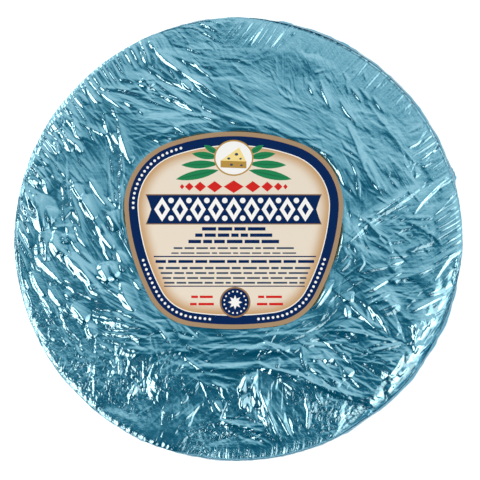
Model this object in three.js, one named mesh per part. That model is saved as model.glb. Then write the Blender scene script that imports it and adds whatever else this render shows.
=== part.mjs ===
// A wheel of blue cheese, shut in crumpled blue foil, with a shaped paper label on its top face.
// Millimetres. +Z is up, the wheel stands on z = 0, and the label reads upright with +Y away from the reader.

import * as THREE from "three";

// Wheel

const WHEEL_DIAMETER = 200;
const FACE_HEIGHT = 86; // height of the flat top face; the folds stand above it
const TOP_ROUND = 7; // radius of the rounded edge round the top face
const BASE_ROUND = 5; // radius of the rounded edge round the base
const OVAL = 0.5; // the wheel is this much longer and shorter than round
const OVAL_ANGLE = 0.18; // direction of the long axis, radians from +X
const FOLD_REACH = 0.6; // how far the folds stand out round the side, taken off the plain radius
const PLAIN_RADIUS = WHEEL_DIAMETER / 2 - FOLD_REACH - OVAL;

// Mesh density

const SECTORS = 150;
const BED_RINGS = 3; // rings of the top face under the label
const FACE_RINGS = 17; // rings of the top face from the label's edge to the rounded edge
const ROUND_STEPS = 4;
const SIDE_STEPS = 9;

// Label

const LABEL_CENTRE = new THREE.Vector2(-2.1, 3.7);
const LABEL_THICKNESS = 0.4;
const LABEL_GAP = 0.3; // clearance between the foil's flat bed and the label
const LABEL_BED_MARGIN = 4; // the foil settles to the flat bed over this distance from the label
const LABEL_TOP = 43.9; // height of the label's top edge above its centre
const LABEL_ARC_STEPS = 8;

// The right half of the label's outline, from the top round to the bottom: arcs that run on smoothly from
// one another. Each turns to the given direction of its outward normal, in degrees from +X, and the last one
// closes on the centre line.
const LABEL_ARCS = [
  { radius: 86, until: 70.5 },
  { radius: 29.5, until: -4 },
  { radius: 95, until: -28 },
  { radius: 25, until: -82 },
  { radius: null, until: -90 },
];

// Folds in the foil on the top face, as ridges (rise above 0) and furrows (rise below 0).
// Each is a path of points on the face, with the half width of the fold and the rise of its crest.
// A fold sinks towards its two ends, to this share of its rise.

const FOLD_END_SHARE = 0.5;
const FOLDS = [
  // upper left
  { path: [[-55, 60], [-52, 54], [-50.5, 42], [-49, 36]], half: 4, rise: 1.3 },
  { path: [[-61, 65], [-50, 57]], half: 3.2, rise: 1 },
  { path: [[-74, 56], [-71.5, 46], [-67, 44]], half: 3.5, rise: 1.1 },
  { path: [[-78, 48], [-70, 40]], half: 3.5, rise: 1 },
  { path: [[-63, 67], [-49, 66], [-35, 60]], half: 4, rise: 0.9 },
  { path: [[-60, 51], [-58, 40]], half: 4.5, rise: -1 },
  // top
  { path: [[-40, 87], [-34, 82], [-26, 75], [-17, 69], [-8, 62]], half: 3.6, rise: 1.4 },
  { path: [[-45, 77], [-33, 70], [-20, 62]], half: 4, rise: -0.9 },
  { path: [[-21, 80], [-16, 75]], half: 3.4, rise: 1 },
  { path: [[-4, 70], [3, 62]], half: 3.4, rise: 1 },
  { path: [[1, 82], [10, 94]], half: 3.2, rise: 0.9 },
  { path: [[9, 80], [20, 93]], half: 3.2, rise: 0.8 },
  { path: [[-38, 53], [-21, 56], [-6, 52]], half: 3, rise: 0.9 },
  // upper right
  { path: [[36, 71], [41, 57]], half: 3.4, rise: 1.1 },
  { path: [[45, 62], [52, 51]], half: 3.6, rise: 1.1 },
  { path: [[48, 51], [52, 40], [57, 28], [62, 22]], half: 3.8, rise: 1.3 },
  { path: [[59, 58], [81, 32]], half: 3, rise: 0.8 },
  { path: [[85, 52], [75, 41]], half: 3.4, rise: 0.9 },
  { path: [[94, 31], [86, 22]], half: 3.4, rise: 0.9 },
  { path: [[24, 76], [30, 66]], half: 4.5, rise: -0.9 },
  // right
  { path: [[49, -1], [61, 12], [72, 19], [83, 26]], half: 3.2, rise: 1.2 },
  { path: [[52, 12], [61, 3], [69, -10]], half: 3.6, rise: 0.9 },
  { path: [[66, -8], [78, -3], [92, 5]], half: 3.6, rise: 0.8 },
  { path: [[60, -20], [76, -16], [91, -10]], half: 3.6, rise: 0.8 },
  // lower right
  { path: [[51, -25], [60, -34], [70, -42]], half: 4.5, rise: -1.3 },
  { path: [[58, -21], [70, -31], [80, -40]], half: 3.6, rise: 1.1 },
  { path: [[73, -47], [84, -47], [95, -40]], half: 3.6, rise: 1 },
  { path: [[73, -47], [80, -58], [84, -67]], half: 3.6, rise: 1.1 },
  { path: [[38, -56], [44, -62]], half: 5, rise: -1.2 },
  { path: [[18, -58], [42, -67], [57, -71], [61, -75]], half: 3.6, rise: 1.3 },
  // bottom
  { path: [[-22, -48], [27, -49]], half: 3.2, rise: 1 },
  { path: [[-26, -56], [2, -58], [28, -55]], half: 3.2, rise: 1 },
  { path: [[4, -60], [1, -68], [2, -76]], half: 3.8, rise: 1.3 },
  { path: [[9, -58], [9, -75]], half: 4, rise: -1.2 },
  { path: [[10, -67], [17, -88]], half: 3.4, rise: 1.1 },
  { path: [[-9, -80], [11, -86]], half: 3.2, rise: 1 },
  { path: [[-24, -66], [-27, -80]], half: 4.5, rise: -0.8 },
  // lower left
  { path: [[-82, -2], [-71, -10], [-65, -18], [-60, -24]], half: 4, rise: 1.4 },
  { path: [[-62, -11], [-56, -20]], half: 3.4, rise: 1 },
  { path: [[-72, -8], [-52, -24], [-46, -32]], half: 3.4, rise: 1.1 },
  { path: [[-73, -29], [-66, -38]], half: 3.6, rise: 1 },
  { path: [[-66, -34], [-46, -38]], half: 3.4, rise: 0.9 },
  { path: [[-62, -46], [-40, -50]], half: 3.4, rise: 0.9 },
  { path: [[-53, -52], [-56, -66]], half: 3.6, rise: 0.9 },
  { path: [[-38, -54], [-42, -72]], half: 4, rise: -0.9 },
  // left
  { path: [[-88, 16], [-85, 2], [-85, -10]], half: 3.4, rise: 1.2 },
  { path: [[-73, 24], [-63, 8]], half: 3.8, rise: 1.3 },
  { path: [[-75, 20], [-69, 3]], half: 3.2, rise: 0.9 },
  { path: [[-63, 8], [-55, -4]], half: 3.4, rise: 1 },
  { path: [[-84, 36], [-79, 22]], half: 3.6, rise: 0.9 },
];

// Pleats down the side, spaced by a rule with a seeded draw

const PLEAT_COUNT = 44;
const PLEAT_SEED = 7;
const PLEAT_SHIFT = 0.7; // most that a pleat is moved from its even place, as a share of the spacing
const PLEAT_LEAN = 7; // most that a pleat leans sideways from top to base, either way
const PLEAT_DEPTH = { least: 0.45, most: 1 };
const PLEAT_HALF_WIDTH = { least: 3.3, most: 7.2 };

// Finishes

const FOIL = new THREE.MeshStandardMaterial({ color: "#64a0b9", roughness: 0.25, metalness: 1 });
const LABEL_PAPER = new THREE.MeshStandardMaterial({ color: "#eee4cd", roughness: 0.45, metalness: 0 });

// Maths helpers

const radians = THREE.MathUtils.degToRad;
const smoothstep = THREE.MathUtils.smoothstep;

// A repeatable draw of numbers from 0 to 1.
function seededDraw(seed) {
  let state = seed;
  return () => {
    state = (Math.imul(state, 1664525) + 1013904223) >>> 0;
    return state / 2 ** 32;
  };
}

// Points of an arc of the half section, from one direction to another, both included.
function arcPoints(centreX, centreZ, radius, from, until) {
  return Array.from({ length: ROUND_STEPS + 1 }, (_, i) => {
    const angle = THREE.MathUtils.lerp(from, until, i / ROUND_STEPS);
    return new THREE.Vector2(centreX + radius * Math.cos(angle), centreZ + radius * Math.sin(angle));
  });
}

// Points between two ends, spaced evenly, without the ends.
function innerPoints(start, end, steps) {
  return Array.from({ length: steps - 1 }, (_, i) => start.clone().lerp(end, (i + 1) / steps));
}

// The nearest point of a path to (x, y): its distance, and how far along the path it is, from 0 to 1.
function nearestOnPath(path, x, y) {
  let best = { distance: Infinity, along: 0 };
  const spans = path.length - 1;
  for (let i = 0; i < spans; i += 1) {
    const [ax, ay] = path[i];
    const [bx, by] = path[i + 1];
    const lengthSq = (bx - ax) ** 2 + (by - ay) ** 2;
    const t = THREE.MathUtils.clamp(((x - ax) * (bx - ax) + (y - ay) * (by - ay)) / lengthSq, 0, 1);
    const distance = Math.hypot(x - ax - t * (bx - ax), y - ay - t * (by - ay));
    if (distance < best.distance) best = { distance, along: (i + t) / spans };
  }
  return best;
}

// Label outline

// Points round the label, counter-clockwise from the top, about the label's own centre.
function labelOutline() {
  const right = [];
  let from = 90;
  let radius = LABEL_ARCS[0].radius;
  const centre = new THREE.Vector2(0, LABEL_TOP - radius);
  for (const arc of LABEL_ARCS) {
    const normal = new THREE.Vector2(Math.cos(radians(from)), Math.sin(radians(from)));
    const next = arc.radius ?? radius + centre.x / normal.x;
    centre.addScaledVector(normal, radius - next);
    radius = next;
    for (let i = 0; i < LABEL_ARC_STEPS; i += 1) {
      const angle = radians(THREE.MathUtils.lerp(from, arc.until, i / LABEL_ARC_STEPS));
      right.push(new THREE.Vector2(Math.cos(angle), Math.sin(angle)).multiplyScalar(radius).add(centre));
    }
    from = arc.until;
  }
  const bottom = new THREE.Vector2(0, centre.y - radius);
  const left = right.slice(1).map((p) => new THREE.Vector2(-p.x, p.y));
  return [right[0], ...left, bottom, ...right.slice(1).reverse()];
}

// How far the point (x, y) of the top face lies outside the label, along the ray from the label's centre.
function outsideLabel(outline, x, y) {
  const px = x - LABEL_CENTRE.x;
  const py = y - LABEL_CENTRE.y;
  const reach = Math.hypot(px, py);
  for (let i = 0; i < outline.length; i += 1) {
    const a = outline[i];
    const b = outline[(i + 1) % outline.length];
    const cross = px * (b.y - a.y) - py * (b.x - a.x);
    const ray = (a.x * (b.y - a.y) - a.y * (b.x - a.x)) / cross;
    const along = (a.x * py - a.y * px) / cross;
    if (ray > 0 && along >= 0 && along <= 1) return reach * (1 - ray);
  }
  return -1;
}

// Foil relief

// Height of the foil's folds at (x, y) of the top face: the highest ridge plus the deepest furrow there.
function faceRelief(outline, x, y) {
  let ridge = 0;
  let furrow = 0;
  for (const fold of FOLDS) {
    const { distance, along } = nearestOnPath(fold.path, x, y);
    const taper = THREE.MathUtils.lerp(FOLD_END_SHARE, 1, Math.sin(Math.PI * along));
    const height = fold.rise * taper * Math.max(0, 1 - distance / fold.half);
    ridge = Math.max(ridge, height);
    furrow = Math.min(furrow, height);
  }
  return (ridge + furrow) * smoothstep(outsideLabel(outline, x, y), 0, LABEL_BED_MARGIN);
}

function makePleats() {
  const draw = seededDraw(PLEAT_SEED);
  return Array.from({ length: PLEAT_COUNT }, (_, i) => ({
    angle: ((i + draw() * PLEAT_SHIFT) / PLEAT_COUNT) * 2 * Math.PI,
    lean: THREE.MathUtils.lerp(-PLEAT_LEAN, PLEAT_LEAN, draw()) / PLAIN_RADIUS,
    depth: THREE.MathUtils.lerp(PLEAT_DEPTH.least, PLEAT_DEPTH.most, draw()),
    half: THREE.MathUtils.lerp(PLEAT_HALF_WIDTH.least, PLEAT_HALF_WIDTH.most, draw()),
  }));
}

// How far the pleats of the side stand out at a direction and height.
function sideRelief(pleats, angle, z) {
  let out = 0;
  for (const pleat of pleats) {
    const at = pleat.angle + pleat.lean * (z / FACE_HEIGHT - 0.5);
    const turn = Math.atan2(Math.sin(angle - at), Math.cos(angle - at));
    out = Math.max(out, pleat.depth * (1 - Math.abs(turn * PLAIN_RADIUS) / pleat.half));
  }
  return out;
}

// Wheel

// Half section of the plain wheel, from the middle of the base round to the middle of the top face.
function wheelProfile(outline) {
  const face = PLAIN_RADIUS - TOP_ROUND;
  const bed = Math.min(...outline.map((p) => p.clone().add(LABEL_CENTRE).length()));
  const middle = new THREE.Vector2(0, FACE_HEIGHT);
  const bedEdge = new THREE.Vector2(bed, FACE_HEIGHT);
  const baseEdge = arcPoints(PLAIN_RADIUS - BASE_ROUND, BASE_ROUND, BASE_ROUND, -Math.PI / 2, 0);
  const topEdge = arcPoints(face, FACE_HEIGHT - TOP_ROUND, TOP_ROUND, 0, Math.PI / 2);
  return [
    new THREE.Vector2(0, 0),
    ...baseEdge,
    ...innerPoints(baseEdge.at(-1), topEdge[0], SIDE_STEPS),
    ...topEdge,
    ...innerPoints(topEdge.at(-1), bedEdge, FACE_RINGS),
    bedEdge,
    ...innerPoints(bedEdge, middle, BED_RINGS),
    middle,
  ];
}

// The plain wheel is turned on its axis, and each of its points is then moved out by the foil's relief there.
function wrappedWheel(outline) {
  const geometry = new THREE.LatheGeometry(wheelProfile(outline), SECTORS);
  geometry.rotateX(Math.PI / 2);
  const pleats = makePleats();
  const position = geometry.getAttribute("position");
  for (let i = 0; i < position.count; i += 1) {
    const x = position.getX(i);
    const y = position.getY(i);
    const z = position.getZ(i);
    const radius = Math.hypot(x, y);
    const angle = Math.atan2(y, x);
    // 0 on the top face, growing to 1 where the rounded edge has turned into the side
    const turned = THREE.MathUtils.clamp((FACE_HEIGHT - z) / TOP_ROUND, 0, 1);
    // 0 at the base, which stays flat, growing to 1 where the pleats are at their full depth
    const risen = smoothstep(z, BASE_ROUND / 2, BASE_ROUND * 3);
    const oval = (OVAL * radius * Math.cos(2 * (angle - OVAL_ANGLE))) / PLAIN_RADIUS;
    const out = oval + turned * risen * sideRelief(pleats, angle, z);
    const up = turned < 1 ? (1 - turned) * faceRelief(outline, x, y) : 0;
    const scale = radius > 0 ? (radius + out) / radius : 1;
    position.setXYZ(i, x * scale, y * scale, z + up);
  }
  geometry.computeVertexNormals();
  const mesh = new THREE.Mesh(geometry, FOIL);
  mesh.name = "foil_wrapped_wheel";
  return mesh;
}

// Label

function paperLabel(outline) {
  const sheet = new THREE.Shape(outline);
  const geometry = new THREE.ExtrudeGeometry(sheet, { depth: LABEL_THICKNESS, bevelEnabled: false });
  const mesh = new THREE.Mesh(geometry, LABEL_PAPER);
  mesh.name = "paper_label";
  mesh.position.set(LABEL_CENTRE.x, LABEL_CENTRE.y, FACE_HEIGHT + LABEL_GAP);
  return mesh;
}

const outline = labelOutline();
const cheeseWheel = new THREE.Group();
cheeseWheel.add(wrappedWheel(outline), paperLabel(outline));

export default cheeseWheel;
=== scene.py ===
"""Dresses a wheel of blue cheese that is shut in crumpled blue foil, with a printed paper label on top.

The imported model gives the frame. Lengths in this file are millimetres until a mesh is made, which is in
metres. +Z is up, the wheel stands on z = 0, and the label reads upright with +Y away from the reader.
"""

from __future__ import annotations

import logging
import math
from dataclasses import dataclass, field, replace
from enum import Enum
from typing import Iterable, Sequence

import bpy
import numpy as np
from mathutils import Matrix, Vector
from mathutils.geometry import delaunay_2d_cdt


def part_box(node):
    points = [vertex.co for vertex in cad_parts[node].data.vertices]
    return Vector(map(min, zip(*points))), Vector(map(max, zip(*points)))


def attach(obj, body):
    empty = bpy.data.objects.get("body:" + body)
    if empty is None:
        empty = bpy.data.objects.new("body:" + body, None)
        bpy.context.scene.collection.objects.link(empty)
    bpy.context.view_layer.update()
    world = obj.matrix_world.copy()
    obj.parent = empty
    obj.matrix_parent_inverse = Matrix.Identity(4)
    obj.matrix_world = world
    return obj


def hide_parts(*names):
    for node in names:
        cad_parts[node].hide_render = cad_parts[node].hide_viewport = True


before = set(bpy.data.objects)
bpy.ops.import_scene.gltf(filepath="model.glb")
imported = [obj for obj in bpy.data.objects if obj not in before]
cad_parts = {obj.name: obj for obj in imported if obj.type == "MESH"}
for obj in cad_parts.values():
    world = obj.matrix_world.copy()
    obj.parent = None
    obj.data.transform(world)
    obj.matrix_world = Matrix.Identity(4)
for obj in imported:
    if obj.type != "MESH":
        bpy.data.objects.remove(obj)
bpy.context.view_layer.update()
log = logging.getLogger("cheese_wheel")

MM = 0.001
BODY = "root"
WHEEL_NODE = "foil_wrapped_wheel"
LABEL_NODE = "paper_label"

Point = tuple[float, float]
Colour = tuple[float, float, float, float]
Array = np.ndarray


# Small helpers


def linear(code: str) -> Colour:
    """Turns an sRGB hex colour into Blender's linear colour.

    Args:
        code: Colour such as "#64a0b9".

    Returns:
        Red, green, blue and an alpha of 1.
    """
    parts = [int(code[i : i + 2], 16) / 255 for i in (1, 3, 5)]
    red, green, blue = (c / 12.92 if c <= 0.04045 else ((c + 0.055) / 1.055) ** 2.4 for c in parts)
    return (red, green, blue, 1.0)


def smooth_step(value: Array, low: float, high: float) -> Array:
    """Eases from 0 at low to 1 at high.

    Args:
        value: Values to ease.
        low: Where the result leaves 0.
        high: Where the result reaches 1.

    Returns:
        The eased values.
    """
    share = np.clip((value - low) / (high - low), 0, 1)
    return share * share * (3 - 2 * share)


def path_distance(path: Sequence[Point], x: Array, y: Array) -> tuple[Array, Array]:
    """Measures how far points lie from a path.

    Args:
        path: Corners of the path.
        x: First coordinates of the points.
        y: Second coordinates of the points.

    Returns:
        Distance to the path, less than 0 on its right-hand side, and the share of the path up to its
        nearest place.
    """
    nearest = np.full(np.shape(x), np.inf)
    signed = np.zeros(np.shape(x))
    along = np.zeros(np.shape(x))
    spans = len(path) - 1
    for i, ((ax, ay), (bx, by)) in enumerate(zip(path, path[1:])):
        length_sq = (bx - ax) ** 2 + (by - ay) ** 2
        share = np.clip(((x - ax) * (bx - ax) + (y - ay) * (by - ay)) / length_sq, 0, 1)
        away_x = x - ax - share * (bx - ax)
        away_y = y - ay - share * (by - ay)
        distance = np.hypot(away_x, away_y)
        side = np.sign((bx - ax) * away_y - (by - ay) * away_x)
        closer = distance < nearest
        nearest = np.where(closer, distance, nearest)
        signed = np.where(closer, distance * side, signed)
        along = np.where(closer, (i + share) / spans, along)
    return signed, along


def new_piece(name: str, points: Array, faces: Iterable[Sequence[int]]) -> bpy.types.Object:
    """Makes a smooth-shaded mesh object in the shared frame.

    Args:
        name: Name of the object.
        points: Rows of x, y and z in millimetres.
        faces: Indices of each face's points.

    Returns:
        The new object, linked to the scene.
    """
    mesh = bpy.data.meshes.new(name)
    mesh.from_pydata((np.asarray(points, dtype=float) * MM).tolist(), [], list(faces))
    mesh.update()
    mesh.shade_smooth()
    piece = bpy.data.objects.new(name, mesh)
    bpy.context.scene.collection.objects.link(piece)
    return piece


def store(piece: bpy.types.Object, name: str, values: Array) -> None:
    """Keeps one number or vector for each point of a mesh, for its material to read.

    Args:
        piece: Object whose mesh takes the numbers.
        name: Name that the material asks for.
        values: One number, or one row of three, for each point.
    """
    numbers = np.asarray(values, dtype=np.float32)
    kind, part = ("FLOAT", "value") if numbers.ndim == 1 else ("FLOAT_VECTOR", "vector")
    attribute = piece.data.attributes.new(name, kind, "POINT")
    attribute.data.foreach_set(part, numbers.ravel())


def add_node(
    tree: bpy.types.NodeTree,
    kind: str,
    inputs: dict[str | int, object] | None = None,
    **settings: object,
) -> bpy.types.Node:
    """Adds a shader node, sets its options and sockets, and links its inputs.

    Args:
        tree: Node tree that takes the node.
        kind: Blender's name for the node, without "ShaderNode" in front.
        inputs: Input name or number, to a value or to the output socket that feeds it.
        settings: The node's own options.

    Returns:
        The new node.
    """
    node = tree.nodes.new(f"ShaderNode{kind}")
    for name, value in settings.items():
        setattr(node, name, value)
    for name, value in (inputs or {}).items():
        if isinstance(value, bpy.types.NodeSocket):
            tree.links.new(value, node.inputs[name])
        else:
            node.inputs[name].default_value = value
    return node


# Foil relief: how the foil is crumpled, as a height over a flat sheet


@dataclass(frozen=True)
class Fold:
    """A ridge or furrow in the foil along a path, sharp at its crest."""

    path: tuple[Point, ...]
    half: float
    rise: float
    end_share: float = 0.5
    sharpness: float = 1.5

    def height(self, x: Array, y: Array) -> Array:
        """Gives the fold's height at points of the sheet.

        Args:
            x: First coordinates.
            y: Second coordinates.

        Returns:
            Heights, 0 away from the fold.
        """
        distance, along = path_distance(self.path, x, y)
        taper = self.end_share + (1 - self.end_share) * np.sin(np.pi * along)
        return self.rise * taper * np.maximum(0, 1 - np.abs(distance) / self.half) ** self.sharpness


# The wheel's main folds, where its solid has them, the sharper ones a little lower: half of the width,
# rise, which is less than 0 for a furrow, and path
FOLD_ROWS = (
    # upper left
    (4, 0.25, (-55, 60), (-52, 54), (-50.5, 42), (-49, 36)),
    (3.2, 1, (-61, 65), (-50, 57)),
    (3.5, 1.1, (-74, 56), (-71.5, 46), (-67, 44)),
    (3.5, 1, (-78, 48), (-70, 40)),
    (4, 0.9, (-63, 67), (-49, 66), (-35, 60)),
    (4.5, -0.5, (-60, 51), (-58, 40)),
    # top
    (3.6, 0.8, (-40, 87), (-34, 82), (-26, 75), (-17, 69), (-8, 62)),
    (4, -0.9, (-45, 77), (-33, 70), (-20, 62)),
    (3.4, 0.4, (-21, 80), (-16, 75)),
    (3.4, 0.5, (-4, 70), (3, 62)),
    (3.2, 0.9, (1, 82), (10, 94)),
    (3.2, 0.8, (9, 80), (20, 93)),
    (3, 0.9, (-38, 53), (-21, 56), (-6, 52)),
    # upper right
    (3.4, 0.6, (36, 71), (41, 57)),
    (3.6, 0.6, (45, 62), (52, 51)),
    (3.8, 1.3, (48, 51), (52, 40), (57, 28), (62, 22)),
    (3, 0.4, (59, 58), (81, 32)),
    (3.4, 0.9, (85, 52), (75, 41)),
    (3.4, 0.9, (94, 31), (86, 22)),
    (4.5, -0.15, (24, 76), (30, 66)),
    # right
    (3.2, 1.2, (49, -1), (61, 12), (72, 19), (83, 26)),
    (3.6, 0.9, (52, 12), (61, 3), (69, -10)),
    (3.6, 0.8, (66, -8), (78, -3), (92, 5)),
    (3.6, 0.8, (60, -20), (76, -16), (91, -10)),
    # lower right
    (4.5, -1.3, (51, -25), (60, -34), (70, -42)),
    (3.6, 1.1, (58, -21), (70, -31), (80, -40)),
    (3.6, 1, (73, -47), (84, -47), (95, -40)),
    (3.6, 1.1, (73, -47), (80, -58), (84, -67)),
    (5, -1.2, (38, -56), (44, -62)),
    (3.6, 1.3, (18, -58), (42, -67), (57, -71), (61, -75)),
    # bottom
    (3.2, 1, (-22, -48), (27, -49)),
    (3.2, 1, (-26, -56), (2, -58), (28, -55)),
    (3.8, 0.9, (4, -60), (1, -68), (2, -76)),
    (4, -1.2, (9, -58), (9, -75)),
    (3.4, 1.1, (10, -67), (17, -88)),
    (3.2, 1, (-9, -80), (11, -86)),
    (4.5, -0.8, (-24, -66), (-27, -80)),
    # lower left
    (4, 1.4, (-82, -2), (-71, -10), (-65, -18), (-60, -24)),
    (3.4, 1, (-62, -11), (-56, -20)),
    (3.4, 1.1, (-72, -8), (-52, -24), (-46, -32)),
    (3.6, 1, (-73, -29), (-66, -38)),
    (3.4, 0.4, (-66, -34), (-46, -38)),
    (3.4, 0.4, (-62, -46), (-40, -50)),
    (3.6, 0.9, (-53, -52), (-56, -66)),
    (4, -0.5, (-38, -54), (-42, -72)),
    # left
    (3.4, 1.2, (-88, 16), (-85, 2), (-85, -10)),
    (3.8, 1.3, (-73, 24), (-63, 8)),
    (3.2, 0.9, (-75, 20), (-69, 3)),
    (3.4, 1, (-63, 8), (-55, -4)),
    (3.6, 0.9, (-84, 36), (-79, 22)),
)
FOLDS = tuple(Fold(tuple(path), half, rise) for half, rise, *path in FOLD_ROWS)


@dataclass(frozen=True)
class Lay:
    """How the foil lies about one place of the face: which way its wrinkles run, and how strong they are.

    The run is in degrees. Streak is for the hair-fine creases along it, grain for the fine bumps, and facet
    for the wrinkles and facets.
    """

    x: float
    y: float
    run: float
    streak: float
    grain: float
    facet: float


# How the foil lies at the places that were noted: x, y, run, streak, grain and facet
LAY_ROWS = (
    # left rim and upper left
    (-88, 31, -50, 1, 0.3, 0.42),
    (-82, 44, -65, 1, 0.3, 0.59),
    (-73, 62, -60, 1, 0.4, 0.5),
    (-57, 78, -62, 1, 0.4, 0.5),
    (-39, 87, -65, 1, 0.3, 0.6),
    (-81, 29, -85, 1.1, 0.2, 0.85),
    (-80, 11, -80, 1, 0.2, 1.02),
    (-88, 11, -80, 1, 0.2, 0.77),
    (-68, 49, -55, 0.6, 0.2, 0.64),
    (-66, 31, -55, 0.7, 0.2, 0.64),
    (-57, 38, -78, 0.9, 0.1, 0.59),
    (-55, 55, -45, 0.6, 0.1, 0.8),
    (-48, 64, -12, 0.7, 0.1, 0.85),
    (-35, 64, -28, 0.9, 0.1, 0.75),
    (-39, 53, -22, 0.7, 0.1, 0.75),
    (-22, 73, -35, 1.1, 0.1, 0.8),
    (-10, 62, -32, 1.1, 0.1, 0.7),
    (-19, 87, -8, 1, 0.4, 0.6),
    (-31, 93, -15, 0.8, 0.5, 0.5),
    (-10, 93, -25, 0.8, 0.7, 0.5),
    (-22, 51, -12, 0.8, 0.1, 0.8),
    (-4, 51, -8, 0.9, 0.1, 0.7),
    (-66, 13, -58, 1.1, 0.1, 1.02),
    (-56, 11, -62, 1.1, 0.1, 1.02),
    (-56, 24, -70, 0.9, 0.1, 0.77),
    # upper right
    (7, 90, 52, 1.1, 0.3, 0.4),
    (21, 93, 50, 1, 0.4, 0.4),
    (10, 73, -20, 1, 0.3, 0.5),
    (5, 62, -25, 1.1, 0.1, 0.6),
    (23, 73, 90, 1.1, 0.2, 0.4),
    (23, 58, -28, 1.1, 0.1, 0.6),
    (36, 49, -42, 1.1, 0.1, 0.6),
    (46, 35, -65, 1, 0.1, 0.6),
    (35, 76, -50, 1, 0.35, 0.4),
    (41, 62, -65, 1, 0.3, 0.45),
    (32, 87, -40, 0.9, 0.4, 0.4),
    (52, 71, 42, 0.7, 0.5, 0.3),
    (65, 64, 45, 0.6, 0.5, 0.3),
    (50, 55, -55, 1, 0.25, 0.45),
    (63, 53, -50, 0.9, 0.3, 0.45),
    (61, 42, -30, 0.5, 0.3, 0.5),
    (79, 49, 45, 0.9, 0.5, 0.45),
    (72, 40, -48, 0.8, 0.3, 0.55),
    (83, 33, 42, 1, 0.6, 0.6),
    (56, 29, -60, 1, 0.2, 0.9),
    (70, 24, -55, 1, 0.4, 0.8),
    (90, 15, 33, 1.2, 0.4, 0.5),
    (92, 2, 38, 1.2, 0.3, 0.5),
    (50, 22, -80, 0.8, 0.1, 0.7),
    # right
    (56, 13, 35, 0.8, 0.2, 1),
    (50, 6, -80, 0.7, 0.1, 0.8),
    (61, 2, -35, 0.9, 0.2, 1),
    (72, 11, 30, 0.8, 0.3, 0.8),
    (79, 0, -10, 0.9, 0.4, 0.9),
    (92, -11, 52, 1.3, 0.3, 0.6),
    (72, -11, 15, 1, 0.2, 0.9),
    (79, -27, 20, 1.2, 0.2, 0.7),
    (59, -14, -20, 0.8, 0.1, 1.1),
    (48, -11, 60, 0.9, 0.1, 1),
    # lower right
    (56, -29, -42, 0.9, 0.1, 1.3),
    (70, -38, -42, 1, 0.1, 1.2),
    (43, -29, 50, 0.9, 0.1, 0.9),
    (85, -49, 55, 0.8, 0.3, 0.8),
    (76, -65, 48, 0.8, 0.4, 0.8),
    (65, -49, 15, 1, 0.3, 1.1),
    (47, -47, -15, 0.9, 0.1, 1.2),
    (41, -58, -25, 0.8, 0.1, 1.3),
    (56, -65, -25, 1, 0.3, 1.1),
    (70, -60, -40, 0.8, 0.5, 1),
    (36, -71, -65, 1, 0.7, 1),
    (45, -80, 60, 0.9, 0.7, 0.9),
    (27, -78, -70, 0.9, 0.3, 1.1),
    (61, -78, 35, 0.8, 0.9, 0.8),
    # bottom
    (27, -45, 8, 1, 0.1, 0.9),
    (5, -45, 2, 1, 0.1, 0.9),
    (-17, -45, -8, 1, 0.1, 0.9),
    (5, -56, -3, 1, 0.1, 1),
    (27, -55, -12, 1, 0.1, 1),
    (-10, -58, -2, 1, 0.1, 1),
    (10, -67, 75, 1, 0.1, 1.2),
    (0, -71, 65, 1, 0.1, 1.2),
    (16, -83, -68, 1, 0.1, 1.1),
    (1, -85, -8, 1, 0.4, 1),
    (-10, -89, 15, 0.7, 0.8, 0.9),
    (27, -92, -20, 0.6, 0.7, 0.8),
    (-17, -74, 65, 0.6, 0.2, 0.8),
    (-33, -78, 55, 0.5, 0.2, 0.6),
    (-8, -69, -45, 0.8, 0.3, 1.2),
    # lower left
    (-44, -65, 72, 0.9, 0.6, 0.7),
    (-57, -60, 75, 0.9, 0.6, 0.8),
    (-71, -56, 60, 0.8, 0.6, 0.7),
    (-80, -45, -60, 0.9, 0.6, 0.8),
    (-51, -76, 60, 0.8, 0.55, 0.7),
    (-35, -56, 60, 0.8, 0.5, 1),
    (-53, -40, -8, 1, 0.3, 0.85),
    (-39, -47, -5, 1, 0.2, 1),
    (-62, -27, -15, 0.9, 0.2, 0.94),
    (-39, -31, -30, 1, 0.1, 1),
    (-73, -36, -58, 1, 0.5, 0.85),
    (-68, -45, -50, 0.9, 0.55, 0.9),
    # left
    (-86, -14, -72, 1, 0.5, 0.94),
    (-93, -22, -78, 0.9, 0.7, 0.77),
    (-77, -14, -50, 1, 0.3, 1.02),
    (-66, -14, -55, 1, 0.1, 1.1),
    (-55, -20, -60, 1.1, 0.1, 1.02),
    (-86, -31, -70, 0.9, 0.6, 0.68),
    (-95, 2, -80, 1, 0.3, 0.77),
    (-75, -2, -60, 1, 0.1, 1.02),
    (-59, -2, -62, 1.1, 0.1, 1.02),
    (-48, -18, -62, 1, 0.1, 0.77),
)
LAYS = tuple(Lay(*row) for row in LAY_ROWS)


class Tone(Enum):
    """What a crease shows from above.

    A glint shows a lamp, a pale one the bright side of the room, and a shade its dark side. A band is what
    the run-down rim shows of a lamp, and a facet is a little paler than the foil round it.
    """

    GLINT = "glint"
    PALE = "pale"
    SHADE = "shade"
    BAND = "band"
    FACET = "facet"


@dataclass(frozen=True)
class Facing:
    """A tilt of the foil that mirrors one thing: the way it faces, in degrees, and how steep it is."""

    azimuth: float
    slope: float


FACINGS: dict[Tone, tuple[Facing, ...]] = {
    Tone.GLINT: (Facing(212.0, 0.44), Facing(150.0, 0.62), Facing(-40.0, 0.62)),
    Tone.PALE: (Facing(60.0, 0.34), Facing(-38.0, 0.45)),
    Tone.SHADE: (Facing(-95.0, 0.24),),
    Tone.BAND: (Facing(-36.0, 0.32),),
    Tone.FACET: (Facing(60.0, 0.1),),
}


# What the foil's own blur adds to the width of the mark that a flank makes
BLUR = 0.12


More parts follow.
